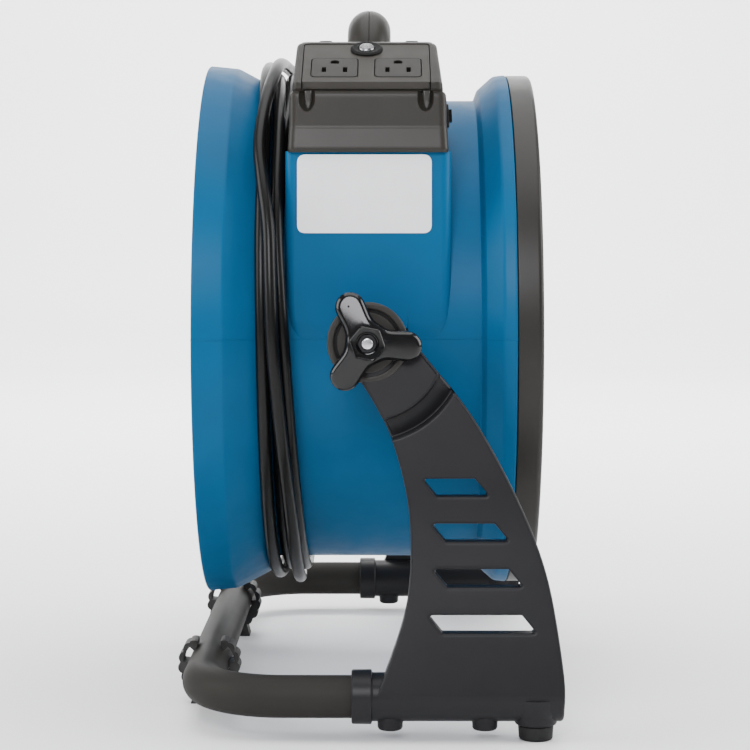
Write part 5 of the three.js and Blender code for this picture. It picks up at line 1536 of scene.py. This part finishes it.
class MOVER_OT_pivots(bpy.types.Operator):
    """Makes the clamping knobs, nuts, bolts and washers on both pivots"""
    bl_idname = "mover.pivots"
    bl_label = "Pivots"

    def grip(self, bm, base, outline):
        """The lobes as rows from the underside round the edge to the hole in the middle"""
        def disc(radius, z, share=1.0, rim=outline):
            return [Vector((*(point * (1 - share) + point.normalized() * radius * share), base + z))
                    for point in rim]

        def crown(point):
            """The top's height: it falls away towards the lobes' ends"""
            out = max(0.0, point.length - 0.0105)
            return 0.0092 - 0.19 * out - 1.2 * out * out

        rows = [disc(NUT_HOLE, 0.0), disc(EYE, 0.0)]
        for share in (0.66, 0.33, 0.0):
            rows.append(disc(EYE, 0.0, share, inward(outline, 0.0012)))
        for k in range(1, 5):
            turn = QUARTER * k / 4
            depth = 0.0012 * (1 - math.sin(turn))
            rows.append(disc(0, 0.0012 * (1 - math.cos(turn)), 0.0, inward(outline, depth)))
        for k in range(0, 11):
            turn = QUARTER * k / 10
            rim = inward(outline, 0.003 * (1 - math.cos(turn)))
            rows.append([Vector((*point, base + 0.0026 + (crown(point) - 0.0026) * math.sin(turn)))
                         for point in rim])
        for k in range(1, 9):
            share = k / 8
            row = [point * (1 - share) + point.normalized() * EYE * share for point in rim]
            rows.append([Vector((*point, base + crown(point))) for point in row])
        rows += [disc(EYE, 0.006), disc(0.0062, 0.0048), disc(NUT_HOLE, 0.0048)]
        loft(bm, rows, ends="ring")

    def collar(self, bm, base):
        """The raised hexagon rim round the nut's hole, down into the hole"""
        sides, turn = 96, math.radians(-11)
        outside = [(0.0095, 0.005), (0.0093, 0.0098), (0.0091, 0.0103), (0.0088, 0.0106),
                   (0.0085, 0.0106), (0.0082, 0.0104), (0.0081, 0.0098)]
        inside = [(0.0074, 0.0097), (0.0066, 0.0097), (0.0063, 0.0094), (0.0061, 0.0088),
                  (0.0057, 0.0087), (0.0055, 0.0084), (0.0053, 0.0078), (0.0052, 0.005)]
        rows = [hexagon(flat, base + z, flat * 1.125, sides, turn) for flat, z in outside]
        rows += [level(radius, base + z, sides) for radius, z in inside]
        loft(bm, rows, ends="ring")

    def execute(self, context):
        leg = context.scene.mover_leg
        base = leg.hub_face + KNOB_LIFT
        outline = knob_outline()
        bm = bmesh.new()
        self.grip(bm, base, outline)
        self.collar(bm, base)
        moved(bm, bm.verts, OUTWARD)
        pair("knob_grip", bm, "knob_black", "{}_knob", ["knob"], 36)
        turn, reach = KNOB_MARK
        spot = shift(reach * math.cos(turn), reach * math.sin(turn), 0)
        low, high = base + 0.005, base + 0.00675
        profile = [(low, 0), (low, 0.0007), (high, 0.0006), (high, 0)]
        bm = solid(turned, profile, 24, OUTWARD @ spot)
        pair("knob_gate_mark", bm, "deep_black", "{}_knob", [])
        seat = base + 0.0048 + CLEARANCE
        bm = solid(hexagon_nut, 0.0098, 0.0033, seat, seat + 0.0046, OUTWARD)
        pair("knob_nut_insert", bm, "blackened_steel", "{}_knob", ["knob_nut"])
        neck = BOLT_HEAD + 0.005
        profile = rounded([(BOLT_HEAD, 0), (BOLT_HEAD, 0.008), (neck, 0.008), (neck, BOLT_RADIUS),
                           (BOLT_END, BOLT_RADIUS), (BOLT_END, 0)],
                          [0, 0.001, 0.0006, 0.0003, 0.0008, 0], 5)
        bm = solid(turned, profile, 48, OUTWARD)
        pair("pivot_bolt_shank", bm, "bright_zinc", "drum", ["pivot_bolt"])
        low = leg.hub_face - HUB_DEPTH - 0.0017
        profile = washer_profile(low, 0.0014, 0.017, 0.0004)
        bm = solid(turned, profile, 72, OUTWARD)
        pair("friction_disc", bm, "foot_rubber", "drum", ["friction_washer"])
        low = leg.hub_face + 0.0003
        profile = washer_profile(low, 0.001, 0.009, 0.0003)
        bm = solid(turned, profile, 64, OUTWARD)
        pair("clamp_disc", bm, "bright_zinc", "{}_clamp", ["clamp_washer"])
        return {"FINISHED"}


# Sidebar and registration
BUILDERS = (MOVER_OT_studio, MOVER_OT_cord, MOVER_OT_drum, MOVER_OT_grilles, MOVER_OT_fan,
            MOVER_OT_motor, MOVER_OT_legs, MOVER_OT_stand, MOVER_OT_control_box, MOVER_OT_handle,
            MOVER_OT_pivots)
SETTINGS = (("mover_drum", DrumSizes), ("mover_grille", GrilleSizes), ("mover_leg", LegSizes),
            ("mover_stand", StandSizes), ("mover_cord", CordSizes), ("mover_colours", Colours))


class MOVER_PT_sidebar(bpy.types.Panel):
    """Lists the sizes, colours and builders of the air mover"""
    bl_idname = "MOVER_PT_sidebar"
    bl_label = "Air mover"
    bl_space_type = "VIEW_3D"
    bl_region_type = "UI"
    bl_category = "Air mover"

    def draw(self, context):
        for name, group in SETTINGS:
            values = getattr(context.scene, name)
            for key in group.__annotations__:
                self.layout.prop(values, key)
        for builder in BUILDERS:
            self.layout.operator(builder.bl_idname)


def register():
    """Adds the sizes, the operators and the sidebar."""
    for name, group in SETTINGS:
        bpy.utils.register_class(group)
        setattr(bpy.types.Scene, name, PointerProperty(type=group))
    for builder in BUILDERS:
        bpy.utils.register_class(builder)
    bpy.utils.register_class(MOVER_PT_sidebar)


def unregister():
    """Takes them away again."""
    bpy.utils.unregister_class(MOVER_PT_sidebar)
    for builder in reversed(BUILDERS):
        bpy.utils.unregister_class(builder)
    for name, group in reversed(SETTINGS):
        delattr(bpy.types.Scene, name)
        bpy.utils.unregister_class(group)


def main():
    """Builds the air mover."""
    register()
    for builder in BUILDERS:
        group, name = builder.bl_idname.split(".")
        getattr(getattr(bpy.ops, group), name)()
    bpy.context.view_layer.update()


if __name__ == "__main__":
    main()
